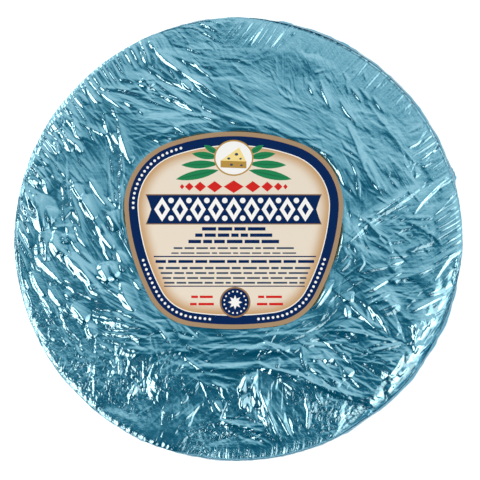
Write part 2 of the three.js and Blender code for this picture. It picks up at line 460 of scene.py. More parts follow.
@dataclass(frozen=True)
class Crease:
    """A listed crease: a narrow flank tilted to mirror something, and a long gentle back."""

    tone: Tone
    width: float
    path: tuple[Point, ...]
    back: float = 2.4

    def height(self, x: Array, y: Array) -> Array:
        """Gives the crease's height at points of the sheet.

        Args:
            x: First coordinates.
            y: Second coordinates.

        Returns:
            Heights, 0 away from the crease.
        """
        distance, along = path_distance(self.path, x, y)
        (ax, ay), (bx, by) = self.path[0], self.path[-1]
        left = math.degrees(math.atan2(by - ay, bx - ax)) + 90
        _, side, slope = min(
            (abs((left + turn - facing.azimuth + 180) % 360 - 180), sense, facing.slope)
            for turn, sense in ((0, 1), (180, -1))
            for facing in FACINGS[self.tone]
        )
        across = distance * side
        taper = np.sqrt(np.clip(1 - (2 * along - 1) ** 2, 0, 1))
        fall = np.where(across > 0, across / self.width, -across / (self.width * self.back))
        return self.width * slope * np.maximum(0, taper - fall)


# Short names of the tones, for the rows of the table
G, P, S, B, F = Tone.GLINT, Tone.PALE, Tone.SHADE, Tone.BAND, Tone.FACET

# Creases that show one by one, as tone, width of the mark that the flank makes, and path
CREASE_ROWS = (
    # upper left
    (G, 1.2, (-61, 65), (-55.5, 61), (-50, 57.5)),
    (P, 0.9, (-55.5, 60), (-54.5, 56), (-53.5, 53)),
    (G, 1.9, (-53.5, 54), (-52.5, 49), (-51.5, 44), (-50, 40), (-48.5, 35)),
    (G, 1.1, (-55.5, 47), (-54.5, 45), (-53, 42)),
    (P, 1, (-48, 33.5), (-46, 36.5)),
    (P, 1.1, (-51.5, 36.5), (-51, 28.5), (-52, 22)),
    (G, 1.1, (-78, 49), (-75, 44.5), (-71.5, 42), (-69, 38.5)),
    (G, 1, (-74.5, 58), (-73, 52.5), (-71.5, 46), (-69.5, 44.5)),
    (G, 1, (-71, 52), (-66, 49.5), (-62, 47.5), (-56.5, 45.5)),
    (G, 1.4, (-69.5, 68), (-66, 64.5), (-63, 61.5), (-60.5, 60.5)),
    (G, 2.8, (-84, 54), (-80.5, 48)),
    (P, 1.6, (-66.5, 60), (-71.5, 65)),
    (P, 1.6, (-73.5, 51), (-79, 56)),
    (P, 1.6, (-79.5, 41.5), (-85, 46)),
    (P, 1.6, (-83.5, 33), (-89, 37)),
    (P, 1.6, (-87, 24), (-92.5, 27.5)),
    (G, 2.2, (-92, 31), (-89.5, 38)),
    (G, 3, (-95.5, 24), (-94.5, 13)),
    (G, 2, (-97.5, 8), (-97.5, -2)),
    (G, 1.8, (-88, 41), (-86.5, 35.5)),
    (G, 2.2, (-92, 22), (-90.5, 13)),
    (G, 1.8, (-85.5, 27), (-84, 20)),
    (G, 1.6, (-77.5, 45), (-74, 38.5)),
    (P, 1.2, (-76.5, 56.5), (-78, 49.5), (-80.5, 45), (-80, 34)),
    (G, 1.1, (-81, 34), (-79, 30.5), (-76, 28)),
    (G, 1, (-80, 26.5), (-78, 24.5)),
    (G, 2.6, (-89, 32), (-88, 24.5)),
    (P, 0.9, (-76, 37), (-76, 22)),
    (P, 1.1, (-64, 68), (-51, 66.5), (-39.5, 64)),
    (P, 1.1, (-64, 66), (-53, 64), (-45.5, 60.5), (-39.5, 58)),
    (S, 3.6, (-53, 71), (-45, 71), (-37, 69)),
    (S, 3.2, (-55, 68), (-47.5, 67.5), (-39.5, 65)),
    (S, 1.6, (-58.5, 62.5), (-49, 60.5), (-42, 56)),
    (G, 1, (-44, 57.5), (-42, 55)),
    (P, 0.9, (-56.5, 78.5), (-52.5, 71)),
    # top
    (G, 1.4, (-37, 84.5), (-33.5, 80.5), (-31, 78.5), (-26, 75)),
    (G, 1, (-40, 88.5), (-37, 84.5)),
    (G, 0.8, (-26, 75), (-20, 71), (-16, 69), (-12, 65.5), (-8, 61.5)),
    (G, 1.3, (-25.5, 70.5), (-23, 68), (-20.5, 66)),
    (G, 1.1, (-43, 84.5), (-42, 80.5), (-40, 77)),
    (P, 0.9, (-38.5, 83), (-37, 80), (-37, 75)),
    (G, 0.7, (-20, 79.5), (-17.5, 76), (-13.5, 73), (-10.5, 69)),
    (G, 0.9, (-4, 70), (-3, 67), (0, 65), (4, 61.5)),
    (S, 1.6, (-35, 84), (-27, 81), (-21.5, 78.5), (-13.5, 77), (-9, 76)),
    (S, 1.4, (-29.5, 87), (-21.5, 85), (-9.5, 85)),
    (S, 1.4, (-8, 81), (0, 80), (6, 77.5)),
    (S, 2.2, (-35, 68.5), (-28, 63.5), (-20, 58.5), (-15, 57)),
    (S, 2.6, (-43.5, 71), (-39.5, 66.5)),
    (S, 1.4, (-13, 56.5), (-4, 54), (4, 52), (18.5, 48.5)),
    (P, 1.1, (-8, 62), (0, 57.5), (8, 54), (18.5, 51)),
    (S, 1.2, (5, 60.5), (15, 55.5), (25.5, 49.5), (32.5, 44.5)),
    (S, 2.2, (-37, 52), (-28, 50.5), (-22, 52)),
    (P, 1.4, (-37, 44), (-31, 48.5), (-22, 51.5), (-13.5, 52), (-8, 49.5)),
    # upper right
    (G, 0.9, (36, 70.5), (38, 64), (40.5, 58)),
    (G, 0.8, (31, 69.5), (33, 64)),
    (G, 0.9, (44.5, 62), (47.5, 56.5), (52, 51)),
    (G, 0.9, (47.5, 51), (51.5, 43), (53, 38), (55, 35.5)),
    (G, 1.6, (56, 35.5), (58, 31), (60, 27.5), (61.5, 23)),
    (G, 1, (56.5, 29), (59.5, 24.5), (62, 21.5)),
    (G, 0.9, (46, 74.5), (48, 70.5), (47.5, 68), (49, 64)),
    (G, 0.8, (49, 68), (54.5, 60.5)),
    (G, 0.9, (59, 63.5), (62, 59), (64.5, 55.5)),
    (P, 0.9, (54.5, 64.5), (63, 52.5), (71.5, 41), (79, 32.5)),
    (G, 0.9, (75, 40.5), (79, 42.5), (83, 49.5)),
    (G, 0.9, (81, 31.5), (85, 37), (89, 43.5)),
    (G, 0.9, (78, 32), (78, 27)),
    (G, 0.8, (33.5, 73.5), (38.5, 75)),
    (G, 0.8, (38, 73.5), (41, 69.5)),
    (G, 0.7, (55, 75), (56.5, 70)),
    (G, 0.8, (53.5, 67), (58, 61)),
    (G, 0.9, (75, 47), (84, 51.5)),
    (G, 0.8, (85.5, 49), (89, 44.5)),
    (G, 0.9, (81.5, 32), (92.5, 38)),
    (G, 0.7, (14, 85.5), (19, 92), (20.5, 95)),
    (G, 0.7, (9.5, 84), (15.5, 91.5)),
    (G, 0.7, (5, 86), (11, 94.5)),
    (G, 0.7, (23.5, 90.5), (26, 94.5)),
    # right
    (S, 2, (47.5, -1.5), (57, 7), (70.5, 16), (80.5, 23)),
    (P, 0.6, (46.5, 0), (56, 8.5), (69.5, 17.5), (79, 24.5)),
    (P, 0.5, (49, -2), (59, 6), (71, 13.5), (84, 22)),
    (P, 0.9, (50, 12), (57, 7.5), (61, 3), (65.5, 0.5), (69, -8.5)),
    (G, 1.6, (45, -14), (49.5, -7.5)),
    (G, 0.9, (47.5, -3), (51, -7.5)),
    (P, 1, (54, -5.5), (55, -10.5), (52.5, -14.5)),
    (S, 1.1, (71, 9), (78.5, 6), (86, 1.5), (89.5, -3)),
    (S, 1.1, (68, -3.5), (74.5, -10)),
    (S, 1.8, (66, -11), (70.5, -16)),
    (G, 1.3, (77, 11), (80.5, 16.5), (87.5, 23.5), (95, 29)),
    (G, 0.9, (86, 10.5), (97, 22)),
    (G, 0.9, (86, 7.5), (98.5, 15.5)),
    (G, 0.9, (87, 4.5), (99, 12)),
    (G, 0.9, (92, -0.5), (99.5, 3.5)),
    (G, 1, (86, -11), (100, -1)),
    (G, 1.3, (86, -18.5), (93, -7.5), (99, -3.5)),
    (G, 0.9, (67, -11), (72.5, -9.5)),
    (P, 0.9, (53.5, -15), (60, -13), (66, -12)),
    (G, 1.3, (58.5, -22), (65.5, -18)),
    # lower right
    (G, 1.8, (42, -18), (39, -23), (35.5, -28), (31.5, -31)),
    (G, 1.3, (46.5, -27), (49.5, -26.5), (50.5, -23)),
    (G, 1, (47.5, -29), (48, -34.5)),
    (S, 2.6, (39.5, -40.5), (47.5, -41), (57, -44)),
    (P, 1.1, (44, -38), (49.5, -40), (57, -42), (69, -45.5)),
    (S, 4, (51, -24.5), (61, -33.5), (70.5, -42.5)),
    (P, 1.8, (50, -28), (53, -32), (57.5, -36), (64, -39.5)),
    (G, 0.9, (76, -32), (90, -25)),
    (P, 0.9, (52, -52.5), (57, -48.5), (63, -45), (69, -45.5)),
    (P, 0.9, (54.5, -52.5), (63, -48.5), (73, -46)),
    (G, 1.3, (38.5, -55), (42, -52)),
    (S, 4, (33.5, -53), (40, -59), (45, -65)),
    (G, 1.6, (47, -61.5), (51, -58)),
    (P, 0.9, (42.5, -52), (47, -63), (52, -68)),
    (S, 1.5, (27.5, -60.5), (37.5, -66), (47, -70), (55, -72)),
    (G, 1.3, (78.5, -37), (78, -43.5), (77.5, -48.5)),
    (G, 1.3, (34, -72), (32.5, -77.5)),
    (G, 1.5, (69, -64), (65, -68.5)),
    (G, 1.3, (75, -56.5), (71, -61)),
    (P, 2.2, (82, -31), (79.5, -39), (75, -47)),
    (P, 2, (73, -50), (69.5, -57), (64, -63)),
    (G, 1.5, (97, -7), (96.5, -13), (94.5, -20)),
    (G, 1.5, (80.5, -45), (77.5, -50.5)),
    (G, 1.4, (86, -33), (83.5, -38.5)),
    (G, 1.8, (72, -67.5), (66, -72.5)),
    (G, 1.4, (64, -73.5), (59, -77.5)),
    (G, 1.2, (81, -56), (77, -62)),
    (F, 11, (62, -22), (84, -38)),
    (B, 1.6, (93.5, -12), (91.5, -22)),
    (B, 1.6, (91, -24), (87.5, -32)),
    (B, 2.6, (84, -34), (80, -44)),
    (B, 2.2, (79, -47), (74, -55)),
    (B, 2.2, (72, -58), (67, -64)),
    (B, 2.2, (64, -67), (57, -73)),
    # bottom
    (P, 1.5, (-2.5, -43.5), (9, -43.5), (17, -42), (32, -42)),
    (P, 1.5, (-2, -49), (5, -48.5), (13, -46.5), (19, -48.5), (25, -51.5)),
    (S, 1.8, (-3, -51), (6, -50.5), (13, -49), (18.5, -51)),
    (P, 1.1, (-19.5, -56), (-2.5, -56), (9, -55), (15, -57.5), (32, -61.5)),
    (S, 1.4, (-19.5, -57.5), (-2.5, -57.5), (9, -57), (21, -61)),
    (P, 1, (-30.5, -48.5), (-19.5, -50)),
    (G, 1.9, (3.5, -60.5), (2, -65), (0, -68)),
    (P, 1.3, (8.5, -57.5), (5, -66.5)),
    (G, 1.4, (5, -68), (2, -71), (1, -75)),
    (G, 1.2, (18, -52.5), (17, -57.5)),
    (G, 1.5, (28, -47.5), (28.5, -53.5), (30, -58)),
    (G, 0.9, (9.5, -68), (13, -75.5), (15.5, -81.5), (17, -88)),
    (P, 0.9, (11.5, -75.5), (13, -82), (14.5, -88)),
    (P, 0.9, (-9, -80), (1.5, -83), (11.5, -85.5)),
    (P, 1, (-9.5, -88), (0, -87.5), (8, -87.5), (15, -91.5)),
    (G, 0.9, (-10.5, -72), (-7.5, -76.5)),
    (G, 1.1, (30.5, -68), (30, -73), (31, -76), (30.5, -85)),
    (S, 4, (6, -59), (7.5, -67), (8.5, -75)),
    # lower left
    (G, 2.2, (-83.5, -21), (-81, -25), (-78, -29)),
    (G, 2.5, (-73.5, -29), (-70.5, -31.5), (-67, -36.5)),
    (G, 1.8, (-66.5, -37.5), (-65.5, -41), (-63.5, -43.5)),
    (G, 1.8, (-66, -20.5), (-64, -23), (-61, -24)),
    (G, 2.5, (-52, -19), (-50.5, -24), (-48.5, -28.5), (-45.5, -31.5)),
    (G, 1.3, (-46, -18), (-43, -22)),
    (G, 1.2, (-38, -42.5), (-36.5, -48.5)),
    (P, 0.9, (-58, -29.5), (-54, -33), (-49, -36), (-38, -40)),
    (S, 1.6, (-57, -29), (-49, -33), (-41, -37), (-33, -41.5)),
    (P, 1, (-52.5, -42), (-48, -41.5), (-38, -44.5)),
    (P, 0.9, (-49, -48), (-38, -48.5)),
    (P, 0.8, (-53, -50), (-38, -50.5)),
    (F, 9, (-34, -76), (-20, -78)),
    (G, 0.9, (-52.5, -52.5), (-52.5, -60)),
    (G, 0.9, (-37, -54.5), (-39.5, -61)),
    (G, 0.9, (-45.5, -63.5), (-48.5, -70)),
    # left
    (G, 4, (-90, 20), (-88.5, 12), (-87, 3.5)),
    (G, 2.8, (-87, 3.5), (-84.5, -3), (-84.5, -9.5)),
    (G, 2.1, (-84.5, 14.5), (-82.5, 7)),
    (G, 1.2, (-73, 14), (-77.5, 8.5)),
    (P, 1.1, (-81.5, 5.5), (-74.5, 6), (-71, 6)),
    (G, 1.5, (-71.5, 5.5), (-70.5, 1.5), (-67, -3.5)),
    (G, 1.2, (-74.5, 21.5), (-72, 15), (-70, 9), (-68.5, 3)),
    (G, 2.8, (-69.5, 18.5), (-66.5, 14.5), (-63, 9)),
    (G, 1.7, (-73, 24), (-69.5, 18.5)),
    (G, 1.2, (-66, 27), (-62, 20), (-58, 15)),
    (G, 1.9, (-77.5, 60.5), (-75, 55.5)),
    (G, 1.7, (-81.5, 43), (-79.5, 38)),
    (G, 1.4, (-61, 2.5), (-58, -0.5), (-55, -4.5)),
    (G, 1.2, (-61, 1), (-59, -3), (-57, -9.5)),
    (G, 3.8, (-61, -11), (-59, -15), (-57, -19)),
    (G, 1.4, (-57, -10.5), (-55.5, -14.5), (-52.5, -18)),
    (G, 1.5, (-53.5, -5), (-51.5, -9.5), (-51.5, -14.5)),
    (G, 1.5, (-74, 1.5), (-72.5, -2.5), (-69, -6), (-64.5, -10.5)),
    (G, 3, (-80.5, 4), (-81.5, -1), (-79.5, -5), (-76, -7)),
    (G, 3.3, (-76, -7), (-73.5, -10), (-69.5, -13.5), (-66, -17.5), (-64.5, -22.5)),
    (G, 1.3, (-75, -10.5), (-72.5, -13.5), (-72, -17)),
    (P, 1, (-60, 13.5), (-56, 10.5), (-53.5, 6.5), (-50.5, 0.5)),
    (G, 1.5, (-52.5, 24), (-51.5, 16.5), (-50.5, 7), (-48.5, -3)),
    (G, 2, (-98, 2), (-97, -3), (-96.5, -10), (-95.5, -20)),
    (G, 2.6, (-93, 12), (-92.5, 4), (-92, -4)),
    (G, 2.3, (-89, -7), (-87, -10), (-84, -12.5), (-77, -19.5)),
    (G, 2.1, (-91, -14), (-88.5, -20), (-85, -25)),
    (S, 3.2, (-76.5, 2.5), (-76.5, -2)),
    (S, 3.6, (-57.5, 11.5), (-55.5, 8), (-54.5, 3.5)),
)
CREASES = tuple(Crease(tone, width - BLUR, tuple(path)) for tone, width, *path in CREASE_ROWS)


@dataclass(frozen=True)
class Comb:
    """A row of fine parallel creases, as where foil is drawn round an edge."""

    start: Point
    end: Point
    way: float
    pitch: float
    length: float
    slope: float = 0.34
    stray: float = 0.3
    stray_degrees: float = 3.0
    back_share: float = 0.5
    flank_shares: Point = (0.42, 0.62)
    length_shares: Point = (0.5, 1.2)
    slope_shares: Point = (0.6, 1.25)

    def press(self, sheet: Sheet, draw: np.random.Generator) -> None:
        """Presses the row into a sheet.

        Args:
            sheet: Sheet that takes the creases.
            draw: Source of their unevenness.
        """
        span_x, span_y = self.end[0] - self.start[0], self.end[1] - self.start[1]
        way = math.radians(self.way)
        across = abs(span_y * math.cos(way) - span_x * math.sin(way))
        count = max(2, round(across / self.pitch))
        for i in range(count):
            share = (i + 0.5 + self.stray * draw.standard_normal()) / count
            flank = self.pitch * draw.uniform(*self.flank_shares)
            sheet.press(
                self.start[0] + share * span_x,
                self.start[1] + share * span_y,
                math.radians(self.way + self.stray_degrees * draw.standard_normal()),
                self.length * draw.uniform(*self.length_shares),
                flank,
                self.pitch * self.back_share,
                flank * self.slope * draw.uniform(*self.slope_shares),
            )


# Combed places of the face, most of them at its rim
COMBS = (
    Comb((-93, 22), (-86, 43), 130, 1.3, 19, 0.58),
    Comb((-86, 43), (-72, 63.5), 128, 1.3, 20, 0.56),
    Comb((-72, 63.5), (-53.5, 80), 124, 1.3, 19, 0.44),
    Comb((-53.5, 80), (-35, 89.5), 118, 1.6, 15, 0.42),
    Comb((-95, -6), (-93, 22), 118, 1.6, 17, 0.58),
    Comb((-89, -41), (-95, -6), 108, 1.6, 14, 0.34),
    Comb((-4, 94), (24, 91), 232, 1.6, 18, 0.46),
    Comb((30, 90), (51, 80), 60, 1.4, 13, 0.36),
    Comb((51, 78), (64.5, 68), 230, 1.4, 15, 0.48),
    Comb((65, 72), (78, 57.5), 224, 1.5, 15, 0.46),
    Comb((84, 47), (94.5, 26.5), 216, 1.7, 19, 0.5),
    Comb((95.5, 22.5), (98, -6), 211, 1.7, 20, 0.52),
    Comb((97, -8), (94.5, -24), 226, 1.5, 17, 0.4),
    Comb((94, -28), (77, -59), 232, 1.5, 17, 0.34),
    Comb((74, -62), (49, -84), 232, 1.5, 14, 0.34),
    Comb((37, -91), (12, -97), 84, 1.6, 10, 0.42),
    Comb((12, -97), (-14, -97), 86, 1.5, 10, 0.42),
    Comb((-22, -95), (-42, -87.5), 62, 2.2, 12, 0.14),
    Comb((-42, -87.5), (-62, -78), 58, 2.2, 13, 0.14),
    Comb((55, 24), (66, 15), 150, 1.3, 9, 0.3),
    Comb((63, 28), (80, 18), 125, 1.5, 8, 0.3),
    Comb((58, -22), (66, -30), 202, 2.2, 10, 0.4),
    Comb((-93, -26), (-80, -40), 122, 1.2, 8, 0.3),
)


@dataclass(frozen=True)
class Slump:
    """A stretch of the rim where the face runs down early to the edge."""

    azimuth: float
    half_angle: float
    start: float
    slope: float

    def drop(self, x: Array, y: Array) -> Array:
        """Gives how far the face has run down.

        Args:
            x: First coordinates.
            y: Second coordinates.

        Returns:
            Distances down, 0 away from the stretch.
        """
        turned = np.angle(np.exp(1j * (np.arctan2(y, x) - math.radians(self.azimuth))))
        share = 1 - smooth_step(np.degrees(np.abs(turned)), self.half_angle / 2, self.half_angle)
        return self.slope * share * np.maximum(0, np.hypot(x, y) - self.start)


# The face runs down at the lower right, and far more gently over the upper right and the bottom
SLUMPS = (Slump(-35, 34, 89.5, 0.27), Slump(48, 44, 64, 0.065), Slump(-76, 40, 48, 0.03))


@dataclass(frozen=True)
class Wrinkles:
    """A family of creases of about one size, strewn over a sheet along the way that the foil lies.

    Each pair is the least and the most of a measure. Back is the width of the gentle flank, tilt its slope,
    steep the slope of the other flank, and stray the spread about the foil's lie, in radians.
    """

    per_square_cm: float
    length: Point
    back: Point
    tilt: float
    steep: Point
    stray: float


# Wrinkles from the broadest to the finest, and last the short deep ones
FAMILIES = (
    Wrinkles(1.1, (14, 44), (4.5, 9.5), 0.05, (0.25, 0.5), 0.22),
    Wrinkles(2.4, (8, 28), (2, 4.5), 0.065, (0.3, 0.56), 0.32),
    Wrinkles(4.5, (4, 16), (0.9, 2), 0.085, (0.34, 0.6), 0.5),
    Wrinkles(3.2, (4, 14), (0.9, 1.8), 0.4, (0.26, 0.5), 0.3),
)


@dataclass(frozen=True)
class Crumple:
    """How strongly a sheet of foil is crumpled."""

    families: tuple[Wrinkles, ...] = FAMILIES
    strength: float = 0.45
    swell_sizes: tuple[float, ...] = (2.6, 7.0)
    swell_tilts: tuple[float, ...] = (0.03, 0.04)
    grain_sizes: tuple[float, ...] = (0.45, 0.8)
    grain_tilts: tuple[float, ...] = (0.08, 0.1)
    rise_shares: Point = (0.5, 1.5)
    quiet_cut: float = 0.95
    turns: int = 6
    bump_seed: int = 3000
    dent_seed: int = 4000

    def press(self, sheet: Sheet, lie: Lie, quiet: Array, seed: int) -> None:
        """Crumples a sheet.

        Args:
            sheet: Sheet that takes the wrinkles.
            lie: How the foil lies over the sheet.
            quiet: Where the wrinkles stay weak, from 0 to 1.
            seed: Seed of all draws.
        """
        draw = np.random.default_rng(seed)
        for family in self.families:
            number = round(family.per_square_cm * sheet.width * sheet.depth / 100)
            x = draw.uniform(-0.5, 0.5, number) * sheet.width
            y = draw.uniform(-0.5, 0.5, number) * sheet.depth
            at = sheet.nearest(x, y)
            way = lie.run[at] + family.stray * draw.standard_normal(number)
            weight = self.strength * lie.facet[at] * (1 - self.quiet_cut * quiet[at])
            length = draw.uniform(*family.length, number)
            back = draw.uniform(*family.back, number)
            rise = back * family.tilt * weight * draw.uniform(*self.rise_shares, number)
            flank = rise / draw.uniform(*family.steep, number)
            sense = np.sign(draw.uniform(-1, 1, number))
            flip = np.sign(draw.uniform(-1, 1, number))
            for i in np.flatnonzero(sheet.needed[at]):
                turn = math.pi if flip[i] < 0 else 0.0
                sheet.press(x[i], y[i], way[i] + turn, length[i], flank[i], back[i], sense[i] * rise[i])
        for k, (size, tilt) in enumerate(zip(self.swell_sizes, self.swell_tilts)):
            sheet.height += tilt * size * math.sqrt(2) * sheet.noise(size, seed + 1 + k)
        for k, (size, tilt) in enumerate(zip(self.grain_sizes, self.grain_tilts)):
            bumps = sheet.noise(size, seed + self.bump_seed + k)
            dents = sheet.noise(size, seed + self.dent_seed + k)
            sheet.height += lie.grain * tilt * size * math.sqrt(2) * (np.abs(dents) - np.abs(bumps))


@dataclass
class Lie:
    """How the foil lies over a sheet: the direction of its wrinkles in radians, and their strengths."""

    run: Array
    streak: Array
    grain: Array
    facet: Array


class Sheet:
    """A flat map of the foil's relief on a square grid, whose opposite edges join on."""

    def __init__(self, width: float, depth: float, step: float) -> None:
        """Sets out the grid.

        Args:
            width: Length along x.
            depth: Length along y.
            step: Distance between samples.
        """
        self.width, self.depth, self.step = width, depth, step
        columns, rows = round(width / step), round(depth / step)
        self.shape = (rows, columns)
        self.x, self.y = np.meshgrid(
            (np.arange(columns) - columns / 2) * step, (np.arange(rows) - rows / 2) * step
        )
        self.height = np.zeros(self.shape)
        self.needed = np.ones(self.shape, dtype=bool)

    def noise(self, size: float, seed: int) -> Array:
        """Draws soft noise.

        Args:
            size: Spread of its softening, about a third of a bump's width.
            seed: Seed of the draw.

        Returns:
            Noise over the grid with a mean of 0 and a spread of 1.
        """
        result = self.soften(np.random.default_rng(seed).standard_normal(self.shape), size)
        return (result - result.mean()) / result.std()

    def soften(self, values: Array, size: float) -> Array:
        """Spreads each value of a map over its surroundings.

        Args:
            values: Map over the grid.
            size: Spread.

        Returns:
            The softened map.
        """
        across = np.fft.fftfreq(self.shape[1], self.step)
        up = np.fft.fftfreq(self.shape[0], self.step)[:, None]
        soft = np.exp(-2 * (np.pi * size) ** 2 * (across**2 + up**2))
        return np.fft.ifft2(np.fft.fft2(values) * soft).real

    def nearest(self, x: Array, y: Array) -> tuple[Array, Array]:
        """Finds the grid points nearest to some places.

        Args:
            x: First coordinates.
            y: Second coordinates.

        Returns:
            Rows and columns.
        """
        rows, columns = self.shape
        row = np.round(y / self.step + rows / 2).astype(int) % rows
        column = np.round(x / self.step + columns / 2).astype(int) % columns
        return row, column

    def sample(self, values: Array, x: Array, y: Array) -> Array:
        """Reads a map between its grid points.

        Args:
            values: Map over the grid.
            x: First coordinates.
            y: Second coordinates.

        Returns:
            The values there, joined across the edges.
        """
        rows, columns = self.shape
        column = x / self.step + columns / 2
        row = y / self.step + rows / 2
        left = np.floor(column).astype(int)
        low = np.floor(row).astype(int)
        part_x = column - left
        part_y = row - low
        right, high = (left + 1) % columns, (low + 1) % rows
        left, low = left % columns, low % rows
        below = values[low, left] * (1 - part_x) + values[low, right] * part_x
        above = values[high, left] * (1 - part_x) + values[high, right] * part_x
        return below * (1 - part_y) + above * part_y

    def press(
        self, x: float, y: float, way: float, length: float, flank: float, back: float, rise: float
    ) -> None:
        """Presses one crease into the sheet: a pointed one, steep on one side and gentle on the other.

        Args:
            x: Middle of the crease, first coordinate.
            y: Middle of the crease, second coordinate.
            way: Its direction, in radians. The steep flank is on its left.
            length: Length from point to point.
            flank: Width of the steep flank.
            back: Width of the gentle flank.
            rise: Height of the crest, less than 0 for a furrow.
        """
        cos, sin = math.cos(way), math.sin(way)
        wide = max(flank, back)
        reach_x = abs(cos) * length / 2 + abs(sin) * wide
        reach_y = abs(sin) * length / 2 + abs(cos) * wide
        rows, columns = self.shape
        low = math.floor((y - reach_y) / self.step + rows / 2)
        high = math.ceil((y + reach_y) / self.step + rows / 2)
        left = math.floor((x - reach_x) / self.step + columns / 2)
        right = math.ceil((x + reach_x) / self.step + columns / 2)
        row = np.arange(low, high + 1)
        column = np.arange(left, right + 1)
        away_y = (row - rows / 2)[:, None] * self.step - y
        away_x = (column - columns / 2)[None, :] * self.step - x
        along = (away_x * cos + away_y * sin) / (length / 2)
        across = away_y * cos - away_x * sin
        taper = np.sqrt(np.clip(1 - along * along, 0, 1))
        fall = np.where(across > 0, across / flank, -across / back)
        self.height[np.ix_(row % rows, column % columns)] += rise * np.maximum(0, taper - fall)


@dataclass(frozen=True)
class LabelShape:
    """The label's outline: a rounded shield, the same on both sides of its centre line."""

    centre: Point = (-2.1, 3.7)
    top: float = 43.9
    radii: tuple[float, ...] = (86, 29.5, 95, 25)
    turns: tuple[float, ...] = (90, 70.5, -4, -28, -82, -90)
    arc_steps: int = 14

    def outline(self, inset: float = 0.0) -> list[Point]:
        """Gives the outline, or one that runs inside it at an even distance.

        Args:
            inset: Distance inside the outer edge.

        Returns:
            Points counter-clockwise from the top, about the label's own centre.
        """
        right: list[Point] = []
        radius = self.radii[0]
        x, y = 0.0, self.top - radius
        for i, (start, end) in enumerate(zip(self.turns, self.turns[1:])):
            normal_x, normal_y = math.cos(math.radians(start)), math.sin(math.radians(start))
            following = self.radii[i] if i < len(self.radii) else radius + x / normal_x
            x += (radius - following) * normal_x
            y += (radius - following) * normal_y
            radius = following
            reach = radius - inset
            for k in range(self.arc_steps):
                angle = math.radians(start + (end - start) * k / self.arc_steps)
                right.append((x + reach * math.cos(angle), y + reach * math.sin(angle)))
        left = [(-px, py) for px, py in right[1:]]
        return [right[0], *left, (0.0, y - radius + inset), *reversed(right[1:])]

    def outside(self, x: Array, y: Array) -> Array:
        """Measures how far points of the face lie outside the label, along rays from its centre.

        Args:
            x: First coordinates on the face.
            y: Second coordinates on the face.

        Returns:
            Distances, less than 0 under the label.
        """
        rim = np.array(self.outline())
        directions = np.arctan2(rim[:, 1], rim[:, 0])
        order = np.argsort(directions)
        reach = np.hypot(rim[:, 0], rim[:, 1])[order]
        away_x, away_y = x - self.centre[0], y - self.centre[1]
        edge = np.interp(np.arctan2(away_y, away_x), directions[order], reach, period=2 * math.pi)
        return np.hypot(away_x, away_y) - edge


@dataclass(frozen=True)
class WheelForm:
    """The plain wheel under the foil: a turned form with rounded edges, a little longer one way."""

    plain_radius: float = 99.5
    face_height: float = 86.0
    top_round: float = 3.6
    top_drop: float = 3.2
    base_round: float = 5.0
    oval: float = 0.5
    oval_angle: float = 0.18

    def shoulder(self, steps: int) -> tuple[Array, Array, Array, Array]:
        """Follows the rounded edge of the face from its flat part out and down to the upright side.

        Args:
            steps: Number of steps along it.

        Returns:
            Radius, height, angle of the normal above the level and length along the edge after each step.
        """
        turn = np.linspace(math.pi / 2, 0, steps + 1)
        radius = self.plain_radius - self.top_round * (1 - np.cos(turn))
        z = self.face_height - self.top_drop * (1 - np.sin(turn))
        tilt = np.arctan2(np.sin(turn) * self.top_round, np.cos(turn) * self.top_drop)
        length = np.concatenate([[0], np.cumsum(np.hypot(np.diff(radius), np.diff(z)))])
        return radius[1:], z[1:], tilt[1:], length[1:]

    def stretched(self, radius: Array, angle: Array) -> Array:
        """Gives how far a point moves out or in because the wheel isn't quite round.

        Args:
            radius: Distance from the axis.
            angle: Direction from the axis.

        Returns:
            Distance to add to the radius.
        """
        return self.oval * radius / self.plain_radius * np.cos(2 * (angle - self.oval_angle))


@dataclass(frozen=True)
class Pleats:
    """Pleats down the wheel's side, spaced by the same rule and the same seeded draw as in its solid."""

    count: int = 44
    seed: int = 7
    shift: float = 0.7
    lean: float = 7.0
    depth: Point = (0.45, 1.0)
    half_width: Point = (3.3, 7.2)

    def draws(self) -> Iterable[float]:
        """Draws the repeatable numbers that place the pleats.

        Yields:
            Numbers from 0 to 1.
        """
        state = self.seed
        while True:
            state = (state * 1664525 + 1013904223) % 2**32
            yield state / 2**32

    def height(self, form: WheelForm, angle: Array, z: Array) -> Array:
        """Gives how far the pleats stand out.

        Args:
            form: The plain wheel.
            angle: Direction round the wheel.
            z: Height above the base.

        Returns:
            Distance out of the plain side.
        """
        draw = iter(self.draws())
        out = np.zeros(np.shape(angle))
        for i in range(self.count):
            centre = (i + next(draw) * self.shift) / self.count * 2 * math.pi
            lean = (2 * next(draw) - 1) * self.lean / form.plain_radius
            depth = self.depth[0] + (self.depth[1] - self.depth[0]) * next(draw)
            half = self.half_width[0] + (self.half_width[1] - self.half_width[0]) * next(draw)
            at = centre + lean * (z / form.face_height - 0.5)
            turn = np.angle(np.exp(1j * (angle - at)))
            out = np.maximum(out, depth * (1 - np.abs(turn * form.plain_radius) / half))
        return out


